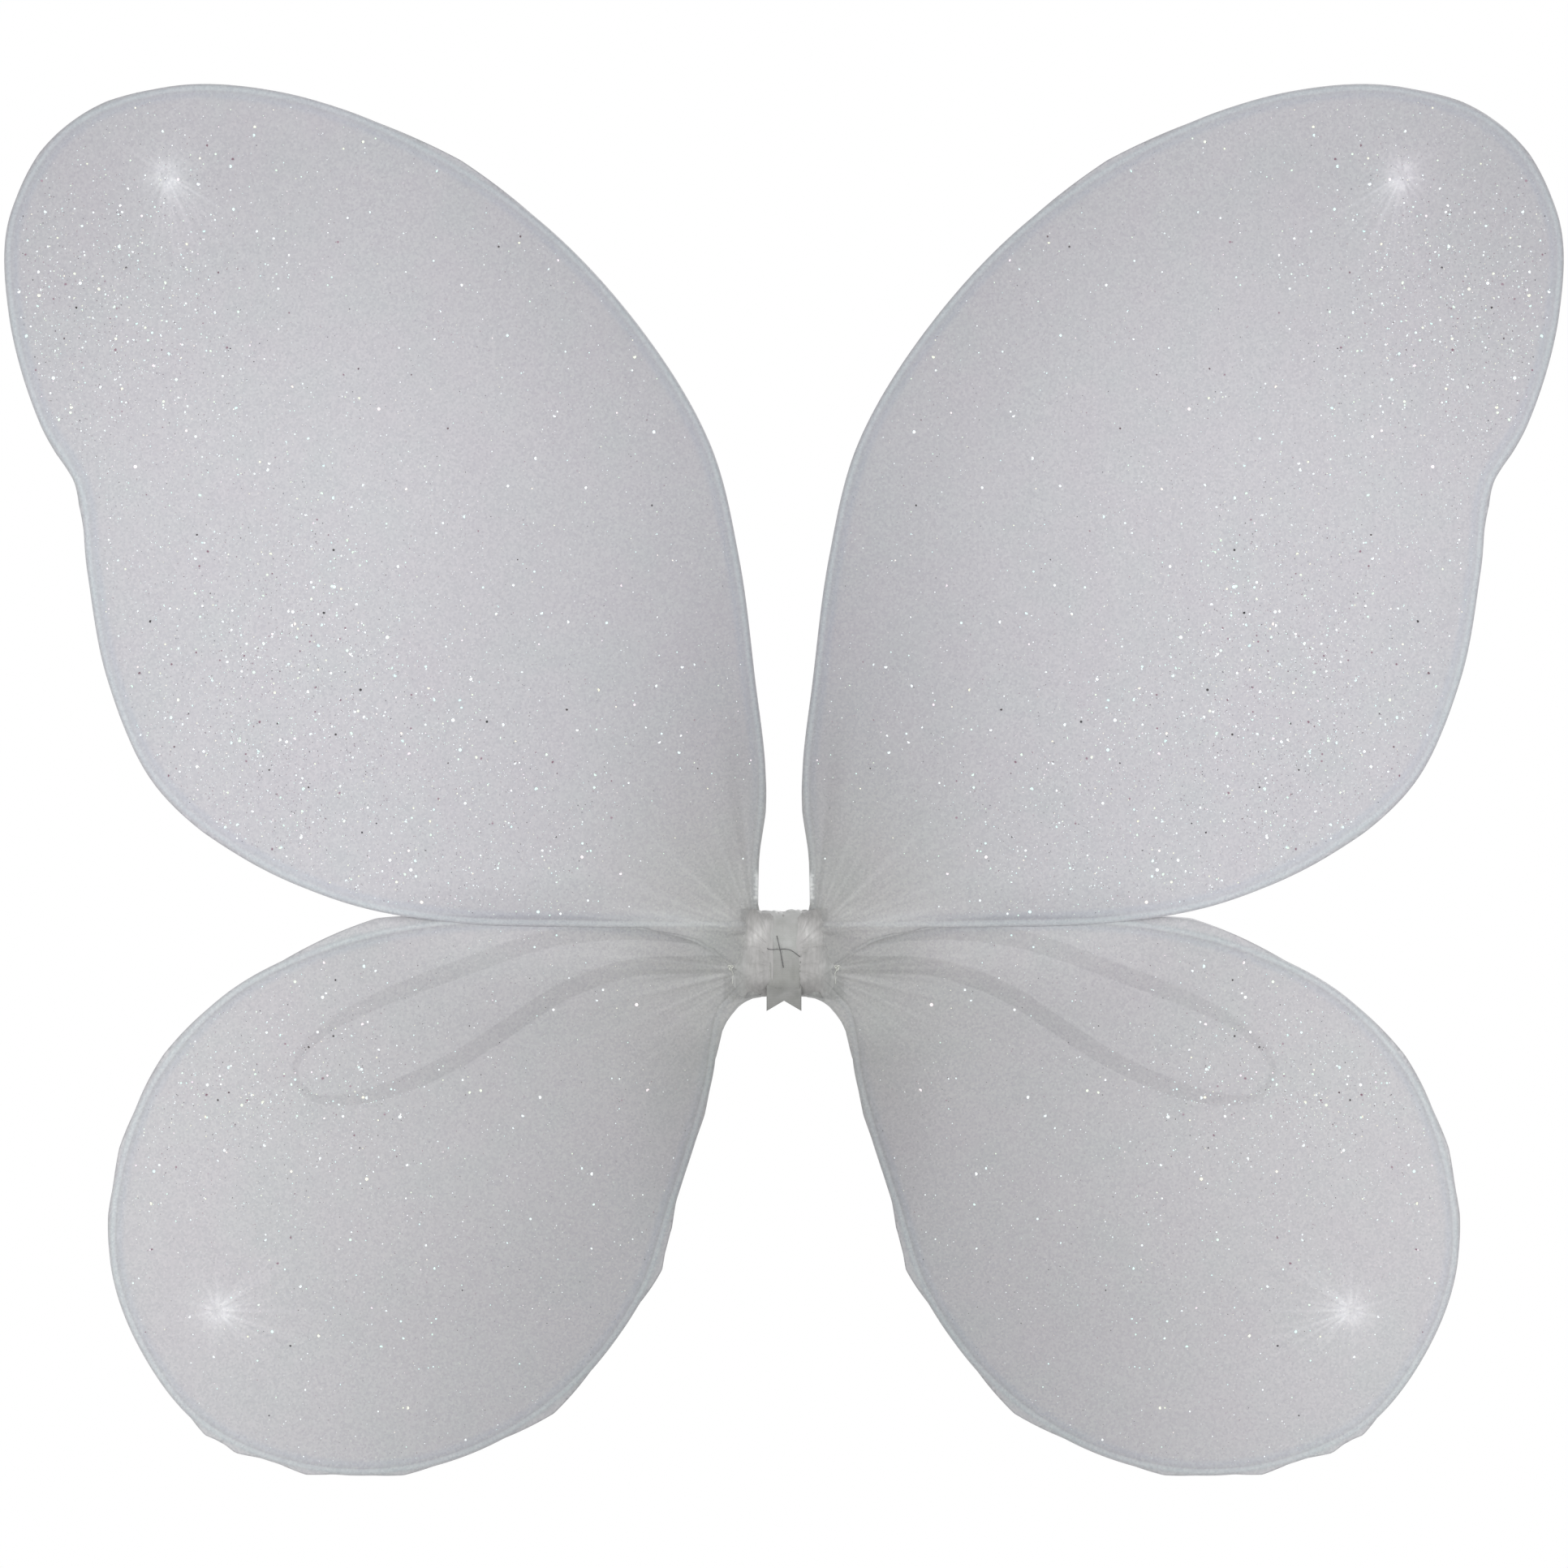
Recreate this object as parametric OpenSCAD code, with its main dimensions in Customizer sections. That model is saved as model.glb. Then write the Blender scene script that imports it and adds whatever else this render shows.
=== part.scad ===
// Costume fairy wings: four bent-wire loops, each inside a sheer nylon sleeve that is tied off near
// its tip and bound at its root, folding on a ribbon-wrapped hub with two elastic arm loops behind.
// X runs across the wings, Z is up, and the wearer stands on the +Y side. The origin is the middle
// of the hub's flat back. Right-hand shapes are drawn, and left-hand ones are their mirror images.

/* [Wings] */
// Width across both upper wings
wing_span = 520; // [490:5:550]
// Thickness of each nylon layer
fabric_t = 0.25; // [0.2:0.05:0.4]
// Middle of the lower wings, in front of the hub's back
lower_depth = 8.8; // [8.6:0.1:9]
// Middle of the upper wings, in front of the hub's back
upper_depth = 12.5; // [12.3:0.1:12.7]

/* [Wire] */
// Diameter of the coated wire
wire_d = 2; // [1.8:0.1:2]
// Space between the wire and the nylon round it
wire_gap = 0.05; // [0.04:0.01:0.08]

/* [Hub] */
// Width of the ribbon
ribbon_w = 11.6; // [10:0.2:12]
// Thickness of the ribbon
ribbon_t = 0.6; // [0.4:0.1:0.8]
// Height of the wrapped hub
hub_h = 29; // [28:0.5:30]
// Depth of the wrapped hub
hub_d = 18; // [17.5:0.5:18.5]
// Radius of the hub's rounded edges
hub_r = 6; // [4:0.5:7]
// How far the ribbon's swallow tail hangs below the hub
tail_drop = 4.2; // [3:0.2:6]

/* [Fold] */
// Distance of the fold axes from the middle
fold_x = 10; // [9.8:0.1:10.5]
// Distance of the fold axes from the hub's back
fold_depth = 11.5; // [11.3:0.1:11.7]
// Radius of each bunched sleeve root round its fold axis
bunch_r = 2.7; // [2.5:0.1:2.8]

/* [Arm loops] */
// Width of the flat elastic
elastic_w = 6; // [5:0.5:6]
// Thickness of the flat elastic
elastic_t = 1; // [0.8:0.1:1.2]
// Twist of the elastic where it turns back on itself
elastic_twist = 70; // [40:5:75]

/* [Thread] */
// Diameter of the binding thread
thread_d = 0.5; // [0.4:0.05:0.55]
// Turns of thread round each sleeve's root
root_turns = 4; // [2:1:4]
// Turns of thread round each sleeve's tip
tip_turns = 2; // [1:1:3]

/* [Hidden] */
$fn = 48;

// The design's own span, at which the bend points below are given
drawn_span = 520;
grow = wing_span / drawn_span;

wire_r = wire_d / 2;
bore_r = wire_r + wire_gap;
skin_r = bore_r + fabric_t;
wire_sides = 8;
steps = 6;

// Where each wire's two legs end inside the bunched root, and the radius of the solid bunch there
root_r = 12;
upper_root = [fold_x, 9.5];
lower_root = [fold_x, -8.5];
upper_feet = [[fold_x, 12.5], [13, 10]];
lower_feet = [[12, -6.5], [13, -9.7]];

// Bend points of the wires, [x, z], from one foot round to the other
upper_bends = [
    [9.7, 30], [7.4, 58], [11, 92], [16.3, 132], [26, 170], [50, 209.4], [84, 245], [127.4, 272.2],
    [167, 286], [205, 288], [238.2, 275.3], [256.8, 246], [257.2, 214], [247.5, 179], [234.4, 155.5],
    [231, 128], [224.3, 92], [209, 58.2], [180, 34], [147, 18.8], [112, 12], [70, 10.4], [32, 10],
];
lower_bends = [
    [27, 4], [48, 9.4], [84, 11.6], [120, 9.8], [154, 1.8], [185.7, -14.4], [209.5, -41], [221.5, -72],
    [223.6, -103], [214, -131], [194.5, -156.2], [166, -169.6], [132, -172.4], [99, -163],
    [69.5, -142.5], [47.4, -112.3], [37.6, -83.2], [29.6, -58], [25, -40], [23.2, -27], [20.6, -17.6],
];

// Where the sleeves are tied off, [x, z]
upper_tie = [206, 260];
lower_tie = [189.5, -119];
tie_neck_r = 1.5;
tie_neck_h = 2;
tuft_r = 3;
tuft_h = 1.4;

// Bunched roots along the fold axes, between the gap at mid height and the hub's top and bottom
bunch_gap = 0.8;
bunch_h = 12.4;
root_thread_z = 1.3;
thread_gap = 0.03;

// Arm loop's middle line, [x, z], from its upper end round its turn to its lower end
strap_x = 7;
strap_depth = 1.2;
strap_dip = 2.2;
strap_route = [
    [strap_x, 3.3], [30, 6.2], [55, 7.6], [80, 4.6], [110, -5.6], [138, -16.6], [155, -26.5],
    [163.6, -38.5], [158.5, -47.6], [146, -48.8], [129, -44.4], [109, -35.2], [92, -24.4], [74, -12.8],
    [52, -5], [30, -3.8], [strap_x, -3.3],
];
strap_turn = 7.3;
strap_turn_reach = 4.5;
tack_size = [3, 0.4, 12];

// Ends of the wires in the hub
end_h = 20;
lashing_turns = 5;
lashing_pitch = 2;

// ---------------------------------------------------------------- curves

function mix(a, b, t) = a + (b - a) * t;
function spacing(a, b) = sqrt(norm(b - a));

// One point of a smooth curve through p1 and p2, whose neighbours are p0 and p3
function curve_point(p0, p1, p2, p3, t) =
    let (
        k1 = spacing(p0, p1),
        k2 = k1 + spacing(p1, p2),
        k3 = k2 + spacing(p2, p3),
        k = mix(k1, k2, t),
        a = mix(p0, p1, k / k1),
        b = mix(p1, p2, (k - k1) / (k2 - k1)),
        c = mix(p2, p3, (k - k2) / (k3 - k2))
    )
    mix(mix(a, b, k / k2), mix(b, c, (k - k1) / (k3 - k1)), (k - k1) / (k2 - k1));

// A smooth curve from the second of these points to the last but one
function curve(p, n) = concat(
    [for (i = [1 : len(p) - 3], j = [0 : n - 1]) curve_point(p[i - 1], p[i], p[i + 1], p[i + 2], j / n)],
    [p[len(p) - 2]]
);

function direction(path, i) =
    let (d = path[min(i + 1, len(path) - 1)] - path[max(i - 1, 0)]) d / norm(d);
function left_of(d) = [-d[1], d[0]];
function beside(path, distance) = [for (i = [0 : len(path) - 1]) path[i] + distance * left_of(direction(path, i))];

// A wing's wire, from foot to foot
function wire_path(feet, bends) =
    let (p = concat([feet[0]], [for (b = bends) b * grow], [feet[1]]))
    concat([feet[0]], curve(p, steps), [feet[1]]);

upper_wire = wire_path(upper_feet, upper_bends);
lower_wire = wire_path(lower_feet, lower_bends);

// ---------------------------------------------------------------- building blocks

// A flat shape drawn in X and Z, stood up so that its middle is this far in front of the back
module upright(depth, thickness) {
    translate([0, -depth, 0]) rotate([90, 0, 0]) linear_extrude(thickness, center = true) children();
}

module on_left() {
    mirror([1, 0, 0]) children();
}

// A closed skin round rings of points, which run in the same sense along a path
module skin(rings) {
    count = len(rings);
    sides = len(rings[0]);
    polyhedron(
        points = [for (ring = rings) each ring],
        faces = concat(
            [for (i = [0 : count - 2], j = [0 : sides - 1])
                [i * sides + j, (i + 1) * sides + j, i * sides + (j + 1) % sides]],
            [for (i = [0 : count - 2], j = [0 : sides - 1])
                [i * sides + (j + 1) % sides, (i + 1) * sides + j, (i + 1) * sides + (j + 1) % sides]],
            [[for (j = [0 : sides - 1]) j]],
            [[for (j = [sides - 1 : -1 : 0]) (count - 1) * sides + j]]
        )
    );
}

// The wire along a path, this far in front of the back
module wire(path, depth) {
    skin([for (i = [0 : len(path) - 1])
        let (n = left_of(direction(path, i)))
        [for (j = [0 : wire_sides - 1])
            let (a = 360 * j / wire_sides, out = wire_r * cos(a))
            [path[i][0] + out * n[0], wire_r * sin(a) - depth, path[i][1] + out * n[1]]]]);
}

// A straight bore for a wire's leg, from inside its foot to just inside the sleeve's hollow
module leg_bore(foot, next, depth) {
    run = next - foot;
    along = run / norm(run);
    start = foot - wire_gap * along;
    translate([start[0], -depth, start[1]])
        rotate([0, 90 - atan2(along[1], along[0]), 0])
            cylinder(h = norm(run) - 0.2, r = bore_r);
}

// The end of a sleeve, drawn together to the back and trimmed beyond its thread
module tuft(tie, depth) {
    translate([tie[0] * grow, skin_r - depth - fabric_t / 2, tie[1] * grow]) rotate([-90, 0, 0]) {
        cylinder(h = tie_neck_h + fabric_t / 2, r = tie_neck_r);
        translate([0, 0, tie_neck_h]) cylinder(h = tuft_h, r1 = tie_neck_r, r2 = tuft_r);
    }
}

// The bunched root round the fold axis
module bunch(low) {
    translate([fold_x, -fold_depth, low]) cylinder(h = bunch_h, r = bunch_r);
}

// A nylon sleeve: two layers with the wire between them, solid where it is bunched at the root
module sleeve(path, feet, root, tie, depth, low) {
    last = len(path) - 1;
    difference() {
        union() {
            upright(depth, 2 * skin_r) polygon(concat([root], beside(path, path_side(path) * skin_r)));
            bunch(low);
            tuft(tie, depth);
        }
        upright(depth, 2 * bore_r) difference() {
            polygon(beside(path, path_side(path) * bore_r));
            translate(root) circle(r = root_r);
        }
        leg_bore(path[0], path[1], depth);
        leg_bore(path[last], path[last - 1], depth);
    }
}

// 1 where the outside of a loop is on the path's left, and -1 where it is on its right
function path_side(path) =
    let (turned = [for (i = [0 : len(path) - 2]) path[i][0] * path[i + 1][1] - path[i + 1][0] * path[i][1]])
    turned * [for (t = turned) 1] > 0 ? -1 : 1;

// Turns of thread round an upright neck
module thread_turns(turns, pitch, neck_r) {
    for (i = [0 : turns - 1])
        translate([0, 0, i * pitch])
            rotate_extrude() translate([neck_r + thread_gap + thread_d / 2, 0]) circle(d = thread_d, $fn = 16);
}

module root_thread(low) {
    translate([fold_x, -fold_depth, low]) thread_turns(root_turns, thread_d + thread_gap, bunch_r);
}

module tip_thread(tie, depth) {
    translate([tie[0] * grow, skin_r - depth + thread_d / 2 + thread_gap, tie[1] * grow]) rotate([-90, 0, 0])
        thread_turns(tip_turns, thread_d + thread_gap, tie_neck_r);
}

// ---------------------------------------------------------------- hub

// The hub seen from the side, with its back edge on the Z axis, smaller all round by inset
module hub_side(inset) {
    r = hub_r - inset;
    low = [hub_r, hub_r - hub_h / 2];
    size = [hub_d - 2 * hub_r, hub_h - 2 * hub_r];
    translate(low) {
        translate([0, -r]) square([size[0], size[1] + 2 * r]);
        translate([-r, 0]) square([size[0] + 2 * r, size[1]]);
        for (x = [0, size[0]], y = [0, size[1]]) translate([x, y]) circle(r = r);
    }
}

// A side view drawn with its back on the Z axis, made this wide across the middle
module across(width) {
    rotate([90, 0, -90]) linear_extrude(width, center = true) children();
}

// Bunched nylon tails and glue round the ends of the wires
module hub_core() {
    color("gainsboro") difference() {
        across(ribbon_w + 0.8) hub_side(ribbon_t);
        translate([0, -hub_d / 2, -end_h / 2 - wire_gap]) cylinder(h = end_h + 2 * wire_gap, r = ends_r());
    }
}

// Radius that clears the four wire ends and their lashing
function ends_r() = wire_r * (1 + sqrt(2)) + thread_d + 3 * thread_gap;

// The frames' own ends, four and four laid side by side inside the hub
module wire_ends() {
    side = wire_r + thread_gap / 4;
    color("lightsteelblue") for (x = [-1, 1], y = [-1, 1])
        translate([x * side, y * side - hub_d / 2, -end_h / 2]) cylinder(h = end_h, r = wire_r);
}

// Thread that lashes the wire ends together
module wire_lashing() {
    color("whitesmoke") translate([0, -hub_d / 2, -lashing_pitch * (lashing_turns - 1) / 2])
        thread_turns(lashing_turns, lashing_pitch, wire_r * (1 + sqrt(2)) + thread_gap / 2);
}

// The ribbon: a band round the hub, with a swallow tail left hanging on the front
module ribbon_wrap() {
    half = ribbon_w / 2;
    tail_low = -hub_h / 2 - tail_drop;
    notch = tail_drop * 0.8;
    color("silver") union() {
        across(ribbon_w) difference() {
            hub_side(0);
            hub_side(ribbon_t);
        }
        upright(hub_d + ribbon_t / 2, ribbon_t)
            polygon([[-half, tail_low], [0, tail_low + notch], [half, tail_low], [half, 0], [-half, 0]]);
    }
}

// A short length of thread on the ribbon's front, from one point to another
module stitch(from, to) {
    run = to - from;
    depth = hub_d + ribbon_t + thread_gap + thread_d / 2;
    translate([from[0], -depth, from[1]]) rotate([0, 90 - atan2(run[1], run[0]), 0])
        cylinder(h = norm(run), d = thread_d, $fn = 16);
}

// Thread that holds the ribbon: one long stitch downwards, and one across that passes behind it
module ribbon_stitches() {
    color("dimgray") {
        stitch([-2.3, 6], [-0.1, -4.3]);
        stitch([-5.4, 2], [-2, 1.8]);
        stitch([-0.8, 1.8], [5.4, -0.7]);
    }
}

// ---------------------------------------------------------------- wings

module upper_frame() {
    color("lightsteelblue") wire(upper_wire, upper_depth);
}

module upper_sleeve() {
    color("lavender") sleeve(upper_wire, upper_feet, upper_root, upper_tie, upper_depth, bunch_gap);
}

module upper_root_thread() {
    color("whitesmoke") root_thread(root_thread_z);
}

module upper_tip_thread() {
    color("whitesmoke") tip_thread(upper_tie, upper_depth);
}

module lower_frame() {
    color("lightsteelblue") wire(lower_wire, lower_depth);
}

module lower_sleeve() {
    color("lightgray") sleeve(lower_wire, lower_feet, lower_root, lower_tie, lower_depth, -bunch_gap - bunch_h);
}

module lower_root_thread() {
    color("whitesmoke") root_thread(-root_thread_z - (root_turns - 1) * (thread_d + thread_gap));
}

module lower_tip_thread() {
    color("whitesmoke") tip_thread(lower_tie, lower_depth);
}

// ---------------------------------------------------------------- arm loops

// How far the elastic is through its turn, from 0 along its flat runs to 1 at the turn itself
function turn_share(at) = pow(cos(90 * min(abs(at - strap_turn) / strap_turn_reach, 1)), 2);

// A flat elastic loop, flat against the wings along both runs and on edge where it turns back
module strap() {
    route = concat([strap_route[0] - [5, 0]], strap_route, [strap_route[len(strap_route) - 1] - [5, 0]]);
    path = curve(route, steps);
    color("beige") skin([for (i = [0 : len(path) - 1])
        let (
            share = turn_share(i / steps),
            n = left_of(direction(path, i)),
            flat = [n[0], 0, n[1]] * cos(elastic_twist * share) + [0, 1, 0] * sin(elastic_twist * share),
            thick = [0, 1, 0] * cos(elastic_twist * share) - [n[0], 0, n[1]] * sin(elastic_twist * share),
            middle = [path[i][0], -strap_depth - strap_dip * share, path[i][1]]
        )
        [for (c = [[1, 1], [-1, 1], [-1, -1], [1, -1]])
            middle + flat * c[0] * elastic_w / 2 + thick * c[1] * elastic_t / 2]]);
}

// The stitching that joins an arm loop's two ends, on the wearer's side
module strap_tack() {
    color("whitesmoke")
        translate([strap_x + 2, -strap_depth + elastic_t / 2 + thread_gap, -tack_size[2] / 2]) cube(tack_size);
}

hub_core();
wire_ends();
wire_lashing();
ribbon_wrap();
ribbon_stitches();
upper_frame();  // right_upper_frame
upper_sleeve();  // right_upper_sleeve
upper_root_thread();  // right_upper_root_thread
upper_tip_thread();  // right_upper_tip_thread
lower_frame();  // right_lower_frame
lower_sleeve();  // right_lower_sleeve
lower_root_thread();  // right_lower_root_thread
lower_tip_thread();  // right_lower_tip_thread
on_left() upper_frame();  // left_upper_frame
on_left() upper_sleeve();  // left_upper_sleeve
on_left() upper_root_thread();  // left_upper_root_thread
on_left() upper_tip_thread();  // left_upper_tip_thread
on_left() lower_frame();  // left_lower_frame
on_left() lower_sleeve();  // left_lower_sleeve
on_left() lower_root_thread();  // left_lower_root_thread
on_left() lower_tip_thread();  // left_lower_tip_thread
strap();  // right_strap
strap_tack();  // right_strap_tack
on_left() strap();  // left_strap
on_left() strap_tack();  // left_strap_tack
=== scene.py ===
"""Looks for the costume fairy wings: sheer glittered nylon over bent wire, round a ribbon-wrapped hub.

Lengths are in metres, in the CAD model's frame: X across the wings, Z up, the wearer on the +Y side.
Right-hand pieces are built, and left-hand ones are their mirror images.
"""

import math

import bpy
import numpy as np
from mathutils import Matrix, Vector, geometry


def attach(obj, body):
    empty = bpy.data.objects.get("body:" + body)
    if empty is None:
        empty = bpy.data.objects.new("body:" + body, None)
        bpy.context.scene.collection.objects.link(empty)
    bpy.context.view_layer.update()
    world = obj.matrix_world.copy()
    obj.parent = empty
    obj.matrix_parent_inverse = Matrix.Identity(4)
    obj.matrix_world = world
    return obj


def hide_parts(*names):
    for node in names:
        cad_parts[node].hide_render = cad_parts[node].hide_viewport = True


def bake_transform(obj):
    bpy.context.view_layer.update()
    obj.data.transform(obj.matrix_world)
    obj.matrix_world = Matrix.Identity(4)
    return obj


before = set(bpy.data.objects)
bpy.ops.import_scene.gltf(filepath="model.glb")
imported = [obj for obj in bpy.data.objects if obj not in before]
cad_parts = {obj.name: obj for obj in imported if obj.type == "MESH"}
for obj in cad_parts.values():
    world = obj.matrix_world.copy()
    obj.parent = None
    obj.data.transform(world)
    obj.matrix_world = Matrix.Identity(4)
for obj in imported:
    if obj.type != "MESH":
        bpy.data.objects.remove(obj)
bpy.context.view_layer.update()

MM = 0.001
SIDES = {"right": 1, "left": -1}

# ---- measurements

WIRE_R = 1.0 * MM
EDGE = 1.35 * MM  # cloth edge outside the wire's middle
UPPER_DEPTH = 12.5 * MM  # from the hub's back to the upper wings' plane, and to the lower wings'
LOWER_DEPTH = 8.8 * MM
LIFT = 2.7 * MM  # how far the lower wing's cloth comes forward to meet the upper wing's edge
FOLD_X = 10 * MM
FOLD_DEPTH = 11.5 * MM
BUNCH_R = 2.7 * MM
WAIST = 2.1 * MM  # the root threads' height above and below the hub's middle
ROOT_COIL_R = 2.75 * MM
TIE_COIL_R = 1.45 * MM
TIE_BACK = 2.5 * MM  # the tip threads' place behind the wing's plane
RIBBON_HALF = 5.8 * MM
RIBBON_TURN_HALF = 3.9 * MM
RIBBON_T = 0.35 * MM
TAIL_LOW = -18.7 * MM
TAIL_NOTCH = 3.4 * MM
WEB_START = 3.6  # where the webs begin under the ribbon, in millimetres from the middle
HUB_TOP = 14.5 * MM
HUB_R = 6 * MM
HUB_DEPTH = 18 * MM

CLOTH_ALPHA = 0.75  # share of the light that one layer of nylon stops
LIGHT = 1.055  # how bright the studio's light shows a white surface

# Bend points of the wires, as in the CAD source, from one foot round to the other
UPPER_BENDS = [
    (9.7, 30), (7.4, 58), (11, 92), (16.3, 132), (26, 170), (50, 209.4), (84, 245), (127.4, 272.2),
    (167, 286), (205, 288), (238.2, 275.3), (256.8, 246), (257.2, 214), (247.5, 179), (234.4, 155.5),
    (231, 128), (224.3, 92), (209, 58.2), (180, 34), (147, 18.8), (112, 12), (70, 10.4), (32, 10),
]
UPPER_FEET = [(10, 12.5), (13, 10)]
LOWER_BENDS = [
    (27, 4), (48, 9.4), (84, 11.6), (120, 9.8), (154, 1.8), (185.7, -14.4), (209.5, -41), (221.5, -72),
    (223.6, -103), (214, -131), (194.5, -156.2), (166, -169.6), (132, -172.4), (99, -163),
    (69.5, -142.5), (47.4, -112.3), (37.6, -83.2), (29.6, -58), (25, -40), (23.2, -27), (20.6, -17.6),
]
LOWER_FEET = [(12, -6.5), (13, -9.7)]

# Where the cloth is slack outside the wire: the place, the reach each way along the edge, the extra width
UPPER_SLACK = [
    ((110, 263), 30, 1.4), ((226, 284), 16, 0.5), ((248, 266), 16, 0.6), ((155, 283), 14, -0.1),
    ((241, 167), 12, 0.5), ((233, 150), 9, 0.7), ((192, 42), 40, 0.8), ((7.5, 48), 12, 0.5),
]
LOWER_SLACK = [
    ((136, 6.8), 34, 3.6), ((207, -35), 22, 0.9), ((220, -66), 14, 0.9), ((224, -88), 12, 0.5),
    ((191, -159.5), 7, 1.5), ((181, -164), 8, 1.6), ((158, -171.5), 9, 1.4), ((126, -172), 10, 0.9),
    ((79, -150.5), 18, 2.1), ((57, -128), 14, -0.1), ((44, -104), 13, 2.1), ((39, -90), 9, 1.2),
    ((35, -73), 11, -0.1), ((28, -52), 8, 0.5),
]

# The arm loop's middle line, as in the CAD source, and the place along it where it turns back on edge
STRAP_X = 7
STRAP_ROUTE = [
    (STRAP_X, 3.3), (30, 6.2), (55, 7.6), (80, 4.6), (110, -5.6), (138, -16.6), (155, -26.5),
    (163.6, -38.5), (158.5, -47.6), (146, -48.8), (129, -44.4), (109, -35.2), (92, -24.4), (74, -12.8),
    (52, -5), (30, -3.8), (STRAP_X, -3.3),
]
STRAP_DEPTH = 1.2 * MM
STRAP_DIP = 2.2 * MM
STRAP_TURN = 7.3
STRAP_TURN_REACH = 4.5
STRAP_TWIST = math.radians(70)
STRAP_W = 6 * MM
STRAP_T = 1 * MM

# ---- lines and fields

BLOCK = 2000  # points that are measured at a time


def lengths(vectors):
    return np.linalg.norm(vectors, axis=1)


def spaced(points):
    """Distance along a line of points, from its start to each of them."""
    return np.concatenate([[0], np.cumsum(lengths(np.diff(points, axis=0)))])


def resampled(points, step):
    """The same line with its points this far apart."""
    along = spaced(points)
    count = max(2, round(along[-1] / step) + 1)
    at = np.linspace(0, along[-1], count)
    return np.column_stack([np.interp(at, along, points[:, k]) for k in range(points.shape[1])])


def between(a, b, k, low, high):
    """Straight from a, where k is low, to b, where k is high."""
    return a + (b - a) * (k - low) / (high - low)


def curve(points, steps=16):
    """A smooth line from the second point to the last but one, as in the CAD source."""
    out = []
    for p0, p1, p2, p3 in zip(points, points[1:], points[2:], points[3:]):
        k1 = math.sqrt(np.linalg.norm(p1 - p0))
        k2 = k1 + math.sqrt(np.linalg.norm(p2 - p1))
        k3 = k2 + math.sqrt(np.linalg.norm(p3 - p2))
        k = k1 + (k2 - k1) * (np.arange(steps) / steps)[:, None]
        a, b, c = between(p0, p1, k, 0, k1), between(p1, p2, k, k1, k2), between(p2, p3, k, k2, k3)
        ab, bc = between(a, b, k, 0, k2), between(b, c, k, k1, k3)
        out.append(between(ab, bc, k, k1, k2))
    return np.vstack([*out, points[-2]])


def directions(path):
    """Unit direction of a line at each of its points."""
    d = np.gradient(path, axis=0)
    return d / lengths(d)[:, None]


def wire_line(feet, bends):
    """A wing's wire in X and Z, from foot to foot."""
    points = np.array([feet[0], *bends, feet[1]], float) * MM
    return resampled(np.vstack([points[0], curve(points), points[-1]]), 1.4 * MM)


def loop_area(path):
    """Area inside the loop a path makes, above zero where it runs anticlockwise in X and Z."""
    x, z = path[:, 0], path[:, 1]
    return np.sum(x * np.roll(z, -1) - np.roll(x, -1) * z) / 2


def outward(path):
    """Unit normals that point out of the loop a path makes."""
    d = directions(path)
    return np.column_stack([d[:, 1], -d[:, 0]]) * np.sign(loop_area(path))


def blocks(points):
    return [slice(low, low + BLOCK) for low in range(0, len(points), BLOCK)]


def nearest(points, line):
    """Each point's distance to a line of points, and the number of the line's piece it is nearest to."""
    start, run = line[:-1], np.diff(line, axis=0)
    length2 = np.maximum(np.sum(run * run, axis=1), 1e-18)
    best = np.full(len(points), np.inf)
    piece = np.zeros(len(points), int)
    for block in blocks(points):
        q = points[block, None, :] - start[None]
        t = np.clip(np.sum(q * run[None], axis=2) / length2, 0, 1)
        gap = np.linalg.norm(q - t[..., None] * run[None], axis=2)
        piece[block] = gap.argmin(axis=1)
        best[block] = gap.min(axis=1)
    return best, piece


def inside(points, ring):
    """Which points lie inside a closed ring."""
    a, b = ring, np.roll(ring, -1, axis=0)
    hit = np.zeros(len(points), bool)
    for block in blocks(points):
        x, z = points[block, 0, None], points[block, 1, None]
        crosses = (a[None, :, 1] > z) != (b[None, :, 1] > z)
        rise = np.where(a[:, 1] == b[:, 1], 1, b[:, 1] - a[:, 1])
        at = a[None, :, 0] + (z - a[None, :, 1]) * (b[:, 0] - a[:, 0])[None] / rise[None]
        hit[block] = (crosses & (x < at)).sum(axis=1) % 2 == 1
    return hit


def turns(count):
    """Angles spaced evenly round a circle."""
    return np.arange(count) / count * math.tau


def circle(angle):
    return np.column_stack([np.cos(angle), np.sin(angle)])


def smooth(value, low, high):
    """0 below low, 1 above high, and a smooth step between them."""
    t = np.clip((value - low) / (high - low), 0, 1)
    return t * t * (3 - 2 * t)


def stretch(value, rise, fall):
    """1 along a stretch, with a smooth rise before it and a smooth fall after it."""
    return smooth(value, *rise) * (1 - smooth(value, *fall))


def bell(value, width):
    """1 at nought, and down to about a third at this width on either side."""
    return np.exp(-((value / width) ** 2))


def spot(x, z, middle, spread):
    """A bell both ways round a middle, with a width along X and one along Z."""
    return bell(x - middle[0], spread[0]) * bell(z - middle[1], spread[1])


def rounded(share):
    """Height of a rounded edge, from 0 at the edge to 1."""
    return np.sqrt(1 - (1 - np.minimum(share, 1)) ** 2)


def waves(points, size, seed, count=24):
    """A smooth random field from about -1 to 1 with features of this size."""
    rng = np.random.default_rng(seed)
    angle = rng.uniform(0, math.tau, count)
    pitch = rng.uniform(0.6, 1.4, count) * math.pi / size
    phase = rng.uniform(0, math.tau, count)
    k = np.array([np.cos(angle), np.sin(angle)]) * pitch
    return np.sin(points @ k + phase).sum(axis=1) / math.sqrt(count / 2)


# ---- meshes


def placed(obj):
    bpy.context.scene.collection.objects.link(obj)
    return obj


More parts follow.
